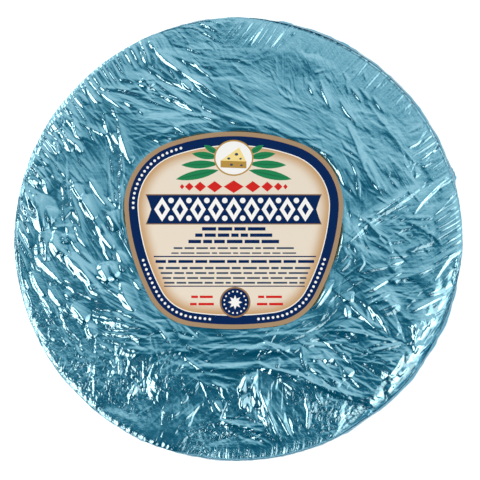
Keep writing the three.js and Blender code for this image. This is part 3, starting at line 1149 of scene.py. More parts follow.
class FaceRelief(Sheet):
    """Relief of the foil over the wheel's top face, and on over its rounded edge."""

    reach: float = 114.0
    grid_step: float = 0.35
    under_label: float = 6.0
    label_blend: Point = (-0.5, 2.0)
    bed_margin: float = 4.0
    lay_spread: float = 9.0
    lay_far: float = 1e-4
    wander: float = 0.16
    wander_size: float = 9.0
    wander_seed: int = 91
    comb_seed: int = 9
    comb_spread: float = 1.5
    comb_height: float = 0.03
    glint_height: float = 0.2
    calm_gain: float = 1.3
    quiet_spread: float = 0.8
    quiet_share: float = 0.75
    fold_share: float = 0.5
    dome_sag: float = 2.4
    dome_reach: float = 92.0
    dome_power: float = 2.0

    def __init__(self, label: LabelShape, crumple: Crumple, seed: int) -> None:
        """Works out the relief.

        Args:
            label: Label that the foil lies flat under.
            crumple: Strength of the fine crumpling.
            seed: Seed of all draws.
        """
        super().__init__(2 * self.reach, 2 * self.reach, self.grid_step)
        outside = label.outside(self.x, self.y)
        self.needed = (outside > -self.under_label) & (np.hypot(self.x, self.y) < self.reach)
        self.lie = self._lay()
        ridge = np.zeros(self.shape)
        furrow = np.zeros(self.shape)
        for fold in FOLDS:
            height = fold.height(self.x, self.y)
            ridge = np.maximum(ridge, height)
            furrow = np.minimum(furrow, height)
        broad = self.fold_share * (ridge + furrow)
        quiet = np.zeros(self.shape)
        for crease in CREASES:
            window, height = self._laid(crease)
            self.height[window] += height
            if crease.tone is Tone.GLINT:
                quiet[window] = np.maximum(quiet[window], height / (crease.width * self.glint_height))
        draw = np.random.default_rng(seed + self.comb_seed)
        before = self.height.copy()
        for comb in COMBS:
            comb.press(self, draw)
        combed = self.soften(np.abs(self.height - before), self.comb_spread)
        quiet = np.clip(np.maximum(quiet, combed / self.comb_height), 0, 1)
        laid, self.height = self.height, np.zeros(self.shape)
        crumple.press(self, self.lie, quiet, seed)
        calm = np.clip(self.calm_gain * self.soften(quiet, self.quiet_spread), 0, 1)
        self.height = laid + self.height * (1 - self.quiet_share * calm)
        self.height *= smooth_step(outside, *self.label_blend)
        self.height += broad * smooth_step(outside, 0, self.bed_margin)
        self.height -= self.dome_sag * (np.hypot(self.x, self.y) / self.dome_reach) ** self.dome_power
        for slump in SLUMPS:
            self.height -= slump.drop(self.x, self.y)

    def _laid(self, crease: Crease) -> tuple[tuple[slice, slice], Array]:
        """Works out one listed crease.

        Args:
            crease: The crease.

        Returns:
            The part of the grid that it takes up, and its height there.
        """
        corners = np.array(crease.path)
        margin = crease.width * crease.back + self.step
        low, high = corners.min(axis=0) - margin, corners.max(axis=0) + margin
        rows, columns = self.shape
        window = (
            slice(*(round(y / self.step + rows / 2) for y in (low[1], high[1]))),
            slice(*(round(x / self.step + columns / 2) for x in (low[0], high[0]))),
        )
        return window, crease.height(self.x[window], self.y[window])

    def _lay(self) -> Lie:
        """Spreads the noted lays over the face.

        Returns:
            How the foil lies at each grid point.
        """
        weight_sum = np.zeros(self.shape)
        cos2, sin2 = np.zeros(self.shape), np.zeros(self.shape)
        streak, grain, facet = np.zeros(self.shape), np.zeros(self.shape), np.zeros(self.shape)
        for lay in LAYS:
            near = ((self.x - lay.x) ** 2 + (self.y - lay.y) ** 2) / self.lay_spread**2
            weight = np.exp(-near) + self.lay_far / (1 + near)
            weight_sum += weight
            cos2 += weight * math.cos(2 * math.radians(lay.run))
            sin2 += weight * math.sin(2 * math.radians(lay.run))
            streak += weight * lay.streak
            grain += weight * lay.grain
            facet += weight * lay.facet
        wander = self.wander * self.noise(self.wander_size, self.wander_seed)
        return Lie(
            np.arctan2(sin2, cos2) / 2 + wander,
            streak / weight_sum,
            grain / weight_sum,
            facet / weight_sum,
        )


class SideRelief(Sheet):
    """Relief of the foil round the wheel's side, unrolled: x runs round the wheel and y up it."""

    columns: int = 1480
    rows_height: float = 110.0
    base_row: float = 12.0
    broad_lean: float = 0.35
    broad_size: float = 14.0
    fine_lean: float = 0.2
    fine_size: float = 6.0
    patch_least: float = 0.6
    patch_size: float = 12.0
    grain_share: float = 0.4
    pleat_share: float = 0.9
    pleat_cut: float = 0.85
    pleat_fade: Point = (54.0, 76.0)

    def __init__(self, form: WheelForm, pleats: Pleats, crumple: Crumple, seed: int) -> None:
        """Works out the relief.

        Args:
            form: The plain wheel.
            pleats: Pleats down the side.
            crumple: Strength of the fine crumpling.
            seed: Seed of all draws.
        """
        round_length = 2 * math.pi * form.plain_radius
        super().__init__(round_length, self.rows_height, round_length / self.columns)
        lean = self.broad_lean * self.noise(self.broad_size, seed + 5)
        lean += self.fine_lean * self.noise(self.fine_size, seed + 6)
        rough = smooth_step(self.noise(self.patch_size, seed + 7), -1, 1)
        patchy = self.patch_least + (1 - self.patch_least) * rough
        even = np.ones(self.shape)
        lie = Lie(math.pi / 2 + lean, even, self.grain_share * patchy, patchy)
        crumple.press(self, lie, 0 * even, seed)
        z = self.y + self.rows_height / 2 - self.base_row
        share = self.pleat_share * (1 - self.pleat_cut * smooth_step(z, *self.pleat_fade))
        self.height += share * pleats.height(form, self.x / form.plain_radius, z)
        self.height -= self.height.mean()

    def at(self, form: WheelForm, angle: Array, z: float) -> Array:
        """Reads the relief round the wheel at one height.

        Args:
            form: The plain wheel.
            angle: Directions round the wheel.
            z: Height above the base.

        Returns:
            Heights of the relief.
        """
        turned = np.angle(np.exp(1j * angle))
        up = z - (self.rows_height / 2 - self.base_row)
        return self.sample(self.height, turned * form.plain_radius, up)


# Wheel


@dataclass
class Ring:
    """One ring of the foil's mesh: its points, and what its material reads at each."""

    points: Array
    sheet: Array
    runs: list[Array]
    grain: Array
    normals: Array | None = None

    @property
    def count(self) -> int:
        """Number of points in the ring."""
        return len(self.points)


@dataclass
class FoilWrap:
    """The foil round the wheel, from under the label over the edge and down the side to under the base."""

    form: WheelForm = field(default_factory=WheelForm)
    label: LabelShape = field(default_factory=LabelShape)
    crumple: Crumple = field(default_factory=Crumple)
    face_seed: int = 11
    side_seed: int = 511
    side_strength: float = 1.2
    side_swells: tuple[float, ...] = (0.085, 0.035)
    inner_sectors: int = 1200
    outer_sectors: int = 1440
    side_sectors: int = 1200
    under_rings: tuple[tuple[float, int], ...] = ((6.0, 16), (13.0, 8), (22.0, 4), (31.0, 2))
    inner_start: float = 36.0
    inner_end: float = 68.0
    face_step: float = 0.42
    side_break: float = 58.0
    side_step: float = 0.8
    smooth_edge: float = 0.3
    edge_freed: Point = (12.0, 34.0)
    edge_blend: Point = (100.0, 112.0)
    edge_steps: int = 16
    foot_blend: Point = (0.5, 1.8)
    foot_steps: int = 8
    run_focus: int = 6
    base_step: float = 1.3
    base_middle: float = 8.0
    _face: FaceRelief = field(init=False)
    _side: SideRelief = field(init=False)

    def build(self) -> list[bpy.types.Object]:
        """Makes the wrap's pieces.

        Returns:
            The pieces, from the face down.
        """
        self._face = FaceRelief(self.label, self.crumple, self.face_seed)
        stronger = replace(self.crumple, strength=self.side_strength, swell_tilts=self.side_swells)
        self._side = SideRelief(self.form, Pleats(), stronger, self.side_seed)
        parts = {
            "foil_over_middle": self._middle_rings(),
            "foil_over_face": self._face_rings(),
            "foil_over_edge": self._edge_rings(),
            "foil_down_side": self._side_rings(),
            "foil_under_base": self._base_rings(),
        }
        rings = [ring for part in parts.values() for ring in part]
        self._find_normals(rings)
        pieces, joined = [], None
        for name, part in parts.items():
            shown = part if joined is None else [joined, *part]
            pieces.append(self._piece(name, shown))
            joined = part[-1]
        return pieces

    def _find_normals(self, rings: list[Ring]) -> None:
        """Works out the normals of the whole wrap, so that its pieces shade as one where they meet.

        Args:
            rings: All rings in order, which take their normals.
        """
        for k, ring in enumerate(rings):
            share = np.arange(ring.count) / ring.count
            before, after = (
                other.points[np.round(share * other.count).astype(int) % other.count]
                for other in (rings[max(k - 1, 0)], rings[min(k + 1, len(rings) - 1)])
            )
            round_way = np.roll(ring.points, -1, axis=0) - np.roll(ring.points, 1, axis=0)
            normal = np.cross(after - before, round_way)
            ring.normals = normal / np.linalg.norm(normal, axis=1)[:, None]

    def _ring(
        self,
        radius: float,
        z: float,
        tilt: float,
        unrolled: float,
        sectors: int,
        pressed: Array | None = None,
    ) -> Ring:
        """Works out one ring of the wrap.

        Args:
            radius: Distance of the plain form from the axis.
            z: Height of the plain form.
            tilt: Angle of the form's outward normal above the level, in radians.
            unrolled: Distance from the axis along the sheet, as if laid flat.
            sectors: Points in the ring.
            pressed: Relief under the wheel, where it isn't the face's or the side's.

        Returns:
            The ring.
        """
        angle = np.arange(sectors) * 2 * math.pi / sectors
        cos, sin = np.cos(angle), np.sin(angle)
        form, face = self.form, self._face
        drop = max(0.0, self._high - z)
        flat_x, flat_y = (unrolled + drop) * cos, (unrolled + drop) * sin
        over = float(smooth_step(np.array(unrolled + drop), *self.edge_blend))
        relief = over * self._side.at(form, angle, z)
        cos2, sin2 = over * np.cos(2 * angle), over * np.sin(2 * angle)
        streak, grain = np.full(sectors, over), np.full(sectors, self._side.grain_share * over)
        if over < 1:
            lie, stay = face.lie, 1 - over
            relief += stay * face.sample(face.height, flat_x, flat_y)
            cos2 += stay * face.sample(np.cos(2 * lie.run), flat_x, flat_y)
            sin2 += stay * face.sample(np.sin(2 * lie.run), flat_x, flat_y)
            streak += stay * face.sample(lie.streak, flat_x, flat_y)
            grain += stay * face.sample(lie.grain, flat_x, flat_y)
        low, high = (form.base_round * share for share in self.foot_blend)
        relief *= float(smooth_step(np.array(z), low, high))
        if pressed is not None:
            relief = pressed
        freed = float(smooth_step(np.array(drop), *self.edge_freed))
        free = self.smooth_edge + (1 - self.smooth_edge) * freed
        reach = radius + form.stretched(radius, angle) + relief * math.cos(tilt) * free
        up = z + relief * math.sin(tilt)
        towards = np.arctan2(sin2, cos2) / 2
        turns = self.crumple.turns
        runs = [
            streak * np.clip(np.cos(2 * (towards - math.pi * k / turns)), 0, 1) ** self.run_focus
            for k in range(turns)
        ]
        return Ring(
            np.column_stack([reach * cos, reach * sin, up]),
            np.column_stack([unrolled * cos, unrolled * sin, np.full(sectors, -drop)]),
            runs,
            grain,
        )

    def _middle_rings(self) -> list[Ring]:
        """Makes the rings of the level face round the label, and a few coarse ones under it.

        Returns:
            The rings in order.
        """
        height, level = self.form.face_height, math.pi / 2
        rings = [
            self._ring(radius, height, level, radius, self.inner_sectors // share)
            for radius, share in self.under_rings
        ]
        steps = round((self.inner_end - self.inner_start) / self.face_step)
        for radius in np.linspace(self.inner_start, self.inner_end, steps + 1):
            rings.append(self._ring(float(radius), height, level, float(radius), self.inner_sectors))
        return rings

    def _face_rings(self) -> list[Ring]:
        """Makes the rings of the level face out to its rounded edge.

        Returns:
            The rings in order.
        """
        flat = self.form.plain_radius - self.form.top_round
        steps = round((flat - self.inner_end) / self.face_step)
        radii = np.linspace(self.inner_end, flat, steps + 1)[1:]
        return [
            self._ring(float(radius), self.form.face_height, math.pi / 2, float(radius), self.outer_sectors)
            for radius in radii
        ]

    def _edge_rings(self) -> list[Ring]:
        """Makes the rings round the edge of the face and down the top of the side.

        Returns:
            The rings in order.
        """
        form = self.form
        flat = form.plain_radius - form.top_round
        rings = [
            self._ring(float(radius), float(z), float(tilt), flat + float(length), self.outer_sectors)
            for radius, z, tilt, length in zip(*form.shoulder(self.edge_steps))
        ]
        steps = round((self._high - self.side_break) / self.side_step)
        for z in np.linspace(self._high, self.side_break, steps + 1)[1:]:
            rings.append(self._level_ring(float(z), self.outer_sectors))
        return rings

    def _side_rings(self) -> list[Ring]:
        """Makes the rings down the side and round the base's edge.

        Returns:
            The rings in order.
        """
        form = self.form
        steps = round((self.side_break - form.base_round) / self.side_step)
        rings = [
            self._level_ring(float(z), self.side_sectors)
            for z in np.linspace(self.side_break, form.base_round, steps + 1)[1:]
        ]
        for i in range(1, self.foot_steps + 1):
            tilt = -math.pi / 2 * i / self.foot_steps
            radius = form.plain_radius - form.base_round * (1 - math.cos(tilt))
            z = form.base_round * (1 + math.sin(tilt))
            rings.append(self._ring(radius, z, tilt, self._far, self.side_sectors))
        return rings

    def _base_rings(self) -> list[Ring]:
        """Makes the rings under the wheel, where the foil is gathered and pressed flat.

        Returns:
            The rings in order.
        """
        form = self.form
        flat = form.plain_radius - form.base_round
        rings = []
        for radius, share in self._base_radii(flat):
            sectors = self.side_sectors // share
            angle = np.arange(sectors) * 2 * math.pi / sectors
            gathered = self._side.at(form, angle, radius - flat) * radius / flat
            fade = float(smooth_step(np.array(flat - radius), 0.0, form.base_round * 2))
            pressed = np.minimum(gathered - np.median(gathered), 0.0) * fade
            rings.append(self._ring(radius, 0.0, -math.pi / 2, self._far, sectors, pressed))
        return rings

    def _base_radii(self, flat: float) -> list[tuple[float, int]]:
        """Lists the rings under the wheel, fewer points to a ring the nearer the middle.

        Args:
            flat: Radius of the flat part of the base.

        Returns:
            Each ring's radius, and the share of the side's points that it has.
        """
        made, radius = [], flat
        while radius > self.base_middle:
            radius -= self.base_step
            share = 2 if radius > flat / 2 else 4 if radius > flat / 4 else 8
            made.append((radius, share))
        return [*made, (self.base_middle / 2, 16)]

    @property
    def _high(self) -> float:
        """Height at which the rounded edge meets the upright side."""
        return self.form.face_height - self.form.top_drop

    @property
    def _far(self) -> float:
        """Distance from the axis to the upright side, along the sheet."""
        form = self.form
        return form.plain_radius - form.top_round + float(form.shoulder(self.edge_steps)[3][-1])

    def _level_ring(self, z: float, sectors: int) -> Ring:
        """Works out one ring of the upright side.

        Args:
            z: Height of the ring.
            sectors: Points in the ring.

        Returns:
            The ring.
        """
        return self._ring(self.form.plain_radius, z, 0.0, self._far, sectors)

    def _piece(self, name: str, rings: list[Ring]) -> bpy.types.Object:
        """Joins rings into one sheet, and closes it over a first or last ring that is small.

        Args:
            name: Name of the piece.
            rings: Rings in order along the sheet.

        Returns:
            The new piece, with the numbers that its material reads.
        """
        starts = np.cumsum([0] + [ring.count for ring in rings])
        faces: list[list[int]] = []
        for k, (ring, other) in enumerate(zip(rings, rings[1:])):
            faces += stitch(int(starts[k]), ring.count, int(starts[k + 1]), other.count)
        small = self.inner_sectors // 8
        if rings[0].count < small:
            faces.append(list(range(rings[0].count)))
        if rings[-1].count < small:
            last = int(starts[-2])
            faces.append([last + i for i in reversed(range(rings[-1].count))])
        piece = new_piece(name, np.vstack([ring.points for ring in rings]), faces)
        store(piece, "sheet", np.vstack([ring.sheet for ring in rings]) * MM)
        for k in range(self.crumple.turns):
            store(piece, f"run_{k}", np.concatenate([ring.runs[k] for ring in rings]))
        store(piece, "grain", np.concatenate([ring.grain for ring in rings]))
        normals = np.vstack([ring.normals for ring in rings])
        piece.data.normals_split_custom_set_from_vertices(normals.tolist())
        triangles = sum(len(face) - 2 for face in faces)
        log.info("%s: %d triangles", name, triangles)
        return piece


def stitch(first: int, first_count: int, second: int, second_count: int) -> list[list[int]]:
    """Joins two rings of points with faces that look out or up.

    Args:
        first: Index of the first ring's first point.
        first_count: Points in the first ring.
        second: Index of the second ring's first point.
        second_count: Points in the second ring.

    Returns:
        Faces between the rings: four-sided where the counts are equal, else triangles.
    """
    if first_count == second_count:
        here = np.arange(first_count)
        after = (here + 1) % first_count
        return np.column_stack([first + here, second + here, second + after, first + after]).tolist()
    faces = []
    i = j = 0
    while i < first_count or j < second_count:
        near, far = first + i % first_count, second + j % second_count
        if j == second_count or (i < first_count and (i + 1) * second_count <= (j + 1) * first_count):
            i += 1
            faces.append([near, far, first + i % first_count])
        else:
            j += 1
            faces.append([near, far, second + j % second_count])
    return faces


@dataclass(frozen=True)
class LacqueredFoil:
    """Thin aluminium foil, rolled bright and lacquered blue, then crumpled by hand.

    The lacquer tints the metal's own mirror, so lit slopes flash pale blue and slopes that face away go to
    deep teal. A clear film over it gives small white glints of its own. Its finest creases are less than
    half a millimetre wide, which is too fine to show, so they are drawn a few times as wide.
    """

    lacquer: str = "#8dbece"
    edge_lacquer: str = "#5d9db2"
    roughness: float = 0.16
    film_share: float = 0.3
    film_roughness: float = 0.04
    film_ior: float = 1.5
    streak_width: float = 2.4
    streak_length: float = 36.0
    streak_height: float = 0.04
    streak_crest: float = 0.1
    grain_width: float = 1.3
    grain_height: float = 0.06
    grain_crest: float = 0.14
    grain_shift: float = 90.0
    layer_shift: float = 10.0

    def material(self, turns: int) -> bpy.types.Material:
        """Makes the foil's material.

        Args:
            turns: Number of directions that the fine streaks are shared between.

        Returns:
            The new material.
        """
        made = bpy.data.materials.new("lacquered_foil")
        made.use_nodes = True
        tree = made.node_tree
        tree.nodes.clear()
        sheet = add_node(tree, "Attribute", attribute_name="sheet").outputs["Vector"]
        long, wide = self.streak_length * MM, self.streak_width * MM
        height = None
        for k in range(turns):
            turned = add_node(
                tree,
                "Mapping",
                {"Vector": sheet, "Rotation": (0.0, 0.0, math.pi * k / turns), "Scale": (long, wide, long)},
                vector_type="TEXTURE",
            )
            where, shift = turned.outputs["Vector"], self.layer_shift * k
            height = self._layer(tree, where, f"run_{k}", shift, height, self.streak_crest, 1.0)
        fine = 1 / (self.grain_width * MM)
        even = add_node(tree, "Mapping", {"Vector": sheet, "Scale": (fine, fine, fine)})
        where, gain = even.outputs["Vector"], self.grain_height / self.streak_height
        height = self._layer(tree, where, "grain", self.grain_shift, height, self.grain_crest, gain)
        bump = add_node(
            tree, "Bump", {"Height": height, "Strength": 1.0, "Distance": self.streak_height * MM}
        )
        shader = add_node(
            tree,
            "BsdfPrincipled",
            {
                "Base Color": linear(self.lacquer),
                "Metallic": 1.0,
                "Roughness": self.roughness,
                "Specular Tint": linear(self.edge_lacquer),
                "Normal": bump.outputs["Normal"],
                "Coat Weight": self.film_share,
                "Coat Roughness": self.film_roughness,
                "Coat IOR": self.film_ior,
                "Coat Normal": bump.outputs["Normal"],
            },
        )
        out = add_node(tree, "OutputMaterial")
        tree.links.new(shader.outputs["BSDF"], out.inputs["Surface"])
        return made

    def _layer(
        self,
        tree: bpy.types.NodeTree,
        where: bpy.types.NodeSocket,
        share: str,
        shift: float,
        below: bpy.types.NodeSocket | None,
        crest: float,
        gain: float,
    ) -> bpy.types.NodeSocket:
        """Adds one layer of hair-fine pinched creases to a height.

        Args:
            tree: Node tree that takes the nodes.
            where: Socket that gives the wrinkles' coordinates.
            share: Attribute that gives the layer's strength.
            shift: Moves the layer's pattern away from the others.
            below: Socket of the height so far, or None.
            crest: Half of a crease's width, as a part of the noise that places it.
            gain: Height of the layer over the streaks' height.

        Returns:
            Socket of the new height.
        """
        moved = add_node(tree, "VectorMath", {0: where, 1: (shift, shift, shift)}, operation="ADD")
        noise = add_node(
            tree,
            "TexNoise",
            {"Vector": moved.outputs["Vector"], "Scale": 1.0, "Detail": 1.0, "Roughness": 0.5},
        )
        centred = add_node(tree, "Math", {0: noise.outputs["Fac"], 1: 0.5}, operation="SUBTRACT")
        folded = add_node(tree, "Math", {0: centred.outputs["Value"]}, operation="ABSOLUTE")
        strength = add_node(tree, "Attribute", attribute_name=share)
        pinched = add_node(
            tree, "Math", {0: folded.outputs["Value"], 1: 1 / crest}, operation="MULTIPLY", use_clamp=True
        )
        scaled = add_node(tree, "Math", {0: pinched.outputs["Value"], 1: -gain}, operation="MULTIPLY")
        weighed = add_node(
            tree, "Math", {0: scaled.outputs["Value"], 1: strength.outputs["Fac"]}, operation="MULTIPLY"
        )
        if below is None:
            return weighed.outputs["Value"]
        total = add_node(tree, "Math", {0: weighed.outputs["Value"], 1: below}, operation="ADD")
        return total.outputs["Value"]


# Label


class Ink(Enum):
    """Colours that the label is printed in, as sRGB hex."""

    TAN = "#a08566"
    NAVY = "#001f50"
    WHITE = "#ecebe8"
    CREAM = "#e0d4c2"
    BROWN = "#8a6a48"
    GREEN = "#1f7d4c"
    DARK_GREEN = "#1d6b44"
    GOLD = "#b08a40"
    RED = "#c9221c"
    YELLOW = "#ecd48a"
    SLATE = "#33465c"


@dataclass(frozen=True)
class Patch:
    """One printed field of flat colour. A patch without ink only adds points to the sheet."""

    ink: Ink | None
    outline: Sequence[Point]


def oblong(x: float, y: float, width: float, height: float, turn: float = 0.0) -> list[Point]:
    """Draws a rectangle about its centre.

    Args:
        x: Centre, first coordinate.
        y: Centre, second coordinate.
        width: Length along its own first direction.
        height: Length along its own second direction.
        turn: Angle of its first direction, in radians.

    Returns:
        Its four corners.
    """
    corners = ((-0.5, -0.5), (0.5, -0.5), (0.5, 0.5), (-0.5, 0.5))
    return [
        (
            x + u * width * math.cos(turn) - v * height * math.sin(turn),
            y + u * width * math.sin(turn) + v * height * math.cos(turn),
        )
        for u, v in corners
    ]


def oval(x: float, y: float, half_width: float, half_height: float, corners: int = 40) -> list[Point]:
    """Draws an oval, or a lozenge when it has four corners.

    Args:
        x: Centre, first coordinate.
        y: Centre, second coordinate.
        half_width: Half of its width.
        half_height: Half of its height.
        corners: Number of its corners.

    Returns:
        Its corners, from the right-hand end round counter-clockwise.
    """
    turns = [2 * math.pi * i / corners for i in range(corners)]
    return [(x + half_width * math.cos(a), y + half_height * math.sin(a)) for a in turns]


def leaf(x: float, y: float, way: float, length: float, half_width: float, steps: int = 8) -> list[Point]:
    """Draws a leaf from its stalk.

    Args:
        x: Foot of the leaf, first coordinate.
        y: Foot of the leaf, second coordinate.
        way: Direction of its tip, in radians.
        length: Length from foot to tip.
        half_width: Half of its greatest width.
        steps: Number of corners along each side.

    Returns:
        Its corners.
    """
    shares = [i / steps for i in range(steps)]
    sides = [(share, math.sin(math.pi * share) ** 0.8) for share in shares]
    sides += [(1 - share, -math.sin(math.pi * share) ** 0.8) for share in shares]
    return [
        (
            x + length * share * math.cos(way) - half_width * wide * math.sin(way),
            y + length * share * math.sin(way) + half_width * wide * math.cos(way),
        )
        for share, wide in sides
    ]


@dataclass(frozen=True)
class Row:
    """A row of plain printed dashes of uneven length."""

    ink: Ink
    x: float
    y: float
    width: float
    height: float
    gap: float = 0.9
    dash: Point = (2.2, 6.5)

    def patches(self, draw: np.random.Generator) -> list[Patch]:
        """Lays out the dashes.

        Args:
            draw: Source of their lengths.

        Returns:
            One patch for each dash.
        """
        made, at = [], self.x - self.width / 2
        end = self.x + self.width / 2
        while at < end - self.dash[0]:
            long = draw.uniform(*self.dash)
            if at + long + self.gap > end - self.dash[0]:
                long = end - at
            made.append(Patch(self.ink, oblong(at + long / 2, self.y, long, self.height)))
            at += long + self.gap
        return made


@dataclass(frozen=True)
class PrintedLabel:
    """The paper label: a tan edge, a navy band, a white line and a cream field with plain generic print."""

    shape: LabelShape = field(default_factory=LabelShape)
    top: float = 86.6
    foot: float = 86.02
    tan_width: float = 2.0
    navy_width: float = 3.9
    line_width: float = 0.42
    warm_reach: float = 6.0
    warm_start: float = -0.5
    warm_steps: tuple[float, ...] = (1.2, 2.6, 4.3, 6.4)
    grid: float = 2.0
    grid_reach: float = 50.0
    grid_inset: float = 6.8
    dot_pitch: float = 2.15
    dot_half: float = 0.62
    waves: tuple[tuple[float, ...], ...] = (
        (31.0, 0.4, 0.3, 0.05),
        (19.0, 1.3, 2.1, 0.035),
        (12.0, 2.4, 4.0, 0.018),
        (9.0, -0.6, 1.0, 0.012),
    )
    seed: int = 5
    rows: tuple[Row, ...] = (
        Row(Ink.NAVY, 0.0, 1.0, 28.0, 1.5, 0.9, (3.0, 7.0)),
        Row(Ink.NAVY, 0.0, -1.8, 34.0, 1.5, 0.9, (3.0, 8.0)),
        Row(Ink.NAVY, 0.0, -4.6, 40.0, 1.5, 0.9, (3.0, 7.0)),
        Row(Ink.SLATE, 0.0, -7.5, 53.0, 0.8),
        Row(Ink.SLATE, 0.0, -9.7, 55.0, 0.6),
        Row(Ink.NAVY, 0.5, -13.4, 70.0, 1.3, 0.9, (3.0, 8.0)),
        Row(Ink.SLATE, 0.3, -16.3, 67.0, 1.0),
        Row(Ink.SLATE, 0.3, -18.5, 65.0, 0.8),
        Row(Ink.SLATE, 0.3, -20.7, 63.5, 0.8),
        Row(Ink.SLATE, 0.3, -22.8, 62.0, 0.8),
        Row(Ink.RED, -14.0, -29.0, 9.5, 1.1, 0.8, (2.5, 5.0)),
        Row(Ink.RED, -14.0, -32.2, 10.5, 1.1, 0.8, (2.5, 5.0)),
        Row(Ink.RED, 16.0, -29.0, 10.5, 1.1, 0.8, (2.5, 5.0)),
        Row(Ink.RED, 16.0, -32.2, 11.5, 1.1, 0.8, (2.5, 5.0)),
    )

    def build(self) -> bpy.types.Object:
        """Makes the label with its print as fields of its mesh.

        Returns:
            The label, with one material for each ink.
        """
        patches = self.print_work()
        points, faces, inks = self._divide(patches)
        wave, tilt_x, tilt_y = self._lie(*points.T)
        count = len(points)
        rim = [int(np.argmin(np.hypot(*(points - corner).T))) for corner in self.shape.outline()]
        placed = points + self.shape.centre
        top = np.column_stack([placed, self.top + wave])
        skirt = top[rim].copy()
        skirt[:, 2] = self.foot
        ahead = [(i + 1) % len(rim) for i in range(len(rim))]
        walls = [[rim[i], count + i, count + j, rim[j]] for i, j in enumerate(ahead)]
        under = [count + i for i in reversed(range(len(rim)))]
        piece = new_piece("label_paper_sheet", np.vstack([top, skirt]), [*faces, *walls, under])
        order = list(Ink)
        for ink in order:
            piece.data.materials.append(PrintedPaper(ink).material())
        edge = order.index(Ink.TAN)
        numbers = [order.index(ink) for ink in inks] + [edge] * (len(walls) + 1)
        piece.data.polygons.foreach_set("material_index", numbers)
        inside = -self.shape.outside(*placed.T)
        past_line = inside - (self.tan_width + self.navy_width + self.line_width)
        warmth = 1 - smooth_step(past_line, self.warm_start, self.warm_reach)
        store(piece, "warmth", np.concatenate([warmth, np.ones(len(rim))]))
        flat = np.column_stack([-tilt_x, -tilt_y, np.ones(count)])
        flat /= np.linalg.norm(flat, axis=1)[:, None]
        sideways = skirt[:, :2] - self.shape.centre
        sideways /= np.linalg.norm(sideways, axis=1)[:, None]
        normals = np.vstack([flat, np.column_stack([sideways, np.zeros(len(rim))])])
        piece.data.normals_split_custom_set_from_vertices(normals.tolist())
        log.info("label_paper_sheet: %d faces", len(piece.data.polygons))
        return piece

    def print_work(self) -> list[Patch]:
        """Lists the print from the first field laid down to the last.

        Returns:
            Patches about the label's centre.
        """
        navy_inset = self.tan_width + self.navy_width
        cream_inset = navy_inset + self.line_width
        outline = self.shape.outline
        patches = [
            Patch(Ink.TAN, outline()),
            Patch(Ink.NAVY, outline(self.tan_width)),
            Patch(Ink.WHITE, outline(navy_inset)),
            Patch(Ink.CREAM, outline(cream_inset)),
            *(Patch(None, outline(cream_inset + more)) for more in self.warm_steps),
        ]
        patches += self._band_dots() + self._medallion() + self._red_line() + self._banner()
        draw = np.random.default_rng(self.seed)
        for row in self.rows:
            patches += row.patches(draw)
        rules = ((0.5, -11.2, 71.6, 0.55), (0.3, -24.3, 62.2, 0.45))
        patches += [Patch(Ink.NAVY, oblong(*rule)) for rule in rules]
        patches += self._badge()
        return patches

    def _band_dots(self) -> list[Patch]:
        """Sets white dots along the navy band, at the upper left and round the bottom.

        Returns:
            Its patches.
        """
        middle = self.shape.outline(self.tan_width + self.navy_width / 2)
        loop = np.array([*middle, middle[0]])
        steps = np.hypot(*np.diff(loop, axis=0).T)
        reach = np.concatenate([[0], np.cumsum(steps)])
        spots = np.arange(0, reach[-1], self.dot_pitch)
        x, y = np.interp(spots, reach, loop[:, 0]), np.interp(spots, reach, loop[:, 1])
        turn = np.degrees(np.arctan2(y, x)) % 360
        spans = ((121, 168), (196, 255), (285, 345))
        shown = np.any([(turn > low) & (turn < high) for low, high in spans], axis=0)
        half = self.dot_half
        return [Patch(Ink.WHITE, oval(a, b, half, half, 8)) for a, b in zip(x[shown], y[shown])]

    def _medallion(self) -> list[Patch]:
        """Draws a white oval with a gold rim round a wedge of blue cheese, between two sprigs of leaves.

        Returns:
            Its patches.
        """
        x, y, stalk = 0.0, 32.3, 6.6
        leaves = ((-5.4, -12, 19.4, 1.95), (-2.6, -2, 16.6, 1.8), (0.2, 8, 12.0, 1.6), (1.8, 30, 7.6, 1.3))
        veins = ((-2.2, -0.3, 0.7), (1.2, 1.6, 0.85), (3.0, -0.4, 0.6), (-1.0, -3.0, 0.7), (3.4, -3.3, 0.6))
        made = []
        for side in (-1, 1):
            for foot, turn, length, half in leaves:
                way = math.radians(turn if side > 0 else 180 - turn)
                foot_x, foot_y = x + side * stalk, y + foot
                made.append(Patch(Ink.GREEN, leaf(foot_x, foot_y, way, length, half)))
                made.append(Patch(Ink.DARK_GREEN, leaf(foot_x, foot_y, way, length * 0.92, 0.3)))
        left, right = x - 5.8, x + 5.6
        made += [
            Patch(Ink.GOLD, oval(x, y, 8.7, 7.95, 56)),
            Patch(Ink.WHITE, oval(x, y, 8.05, 7.3, 56)),
            Patch(Ink.GOLD, [(left, y - 1.2), (right, y - 1.6), (right, y - 4.6), (left, y - 4.2)]),
            Patch(Ink.YELLOW, [(left, y - 1.2), (x + 2.4, y + 4.6), (right, y - 1.6)]),
            *(Patch(Ink.SLATE, oval(x + u, y + v, size, size * 0.75, 10)) for u, v, size in veins),
        ]
        return made

    def _red_line(self) -> list[Patch]:
        """Draws a red line of lozenges, over the banner.

        Returns:
            Its patches.
        """
        y = 19.6
        lozenges = ((8.4, 3.4, 2.5), (14.8, 2.6, 2.2), (19.6, 1.9, 1.8), (22.8, 1.0, 1.2))
        made = [Patch(Ink.RED, oval(0.0, y, 4.4, 2.8, 4))]
        for side in (-1, 1):
            for across, half_width, half_height in lozenges:
                made.append(Patch(Ink.RED, oval(side * across, y, half_width, half_height, 4)))
        return made

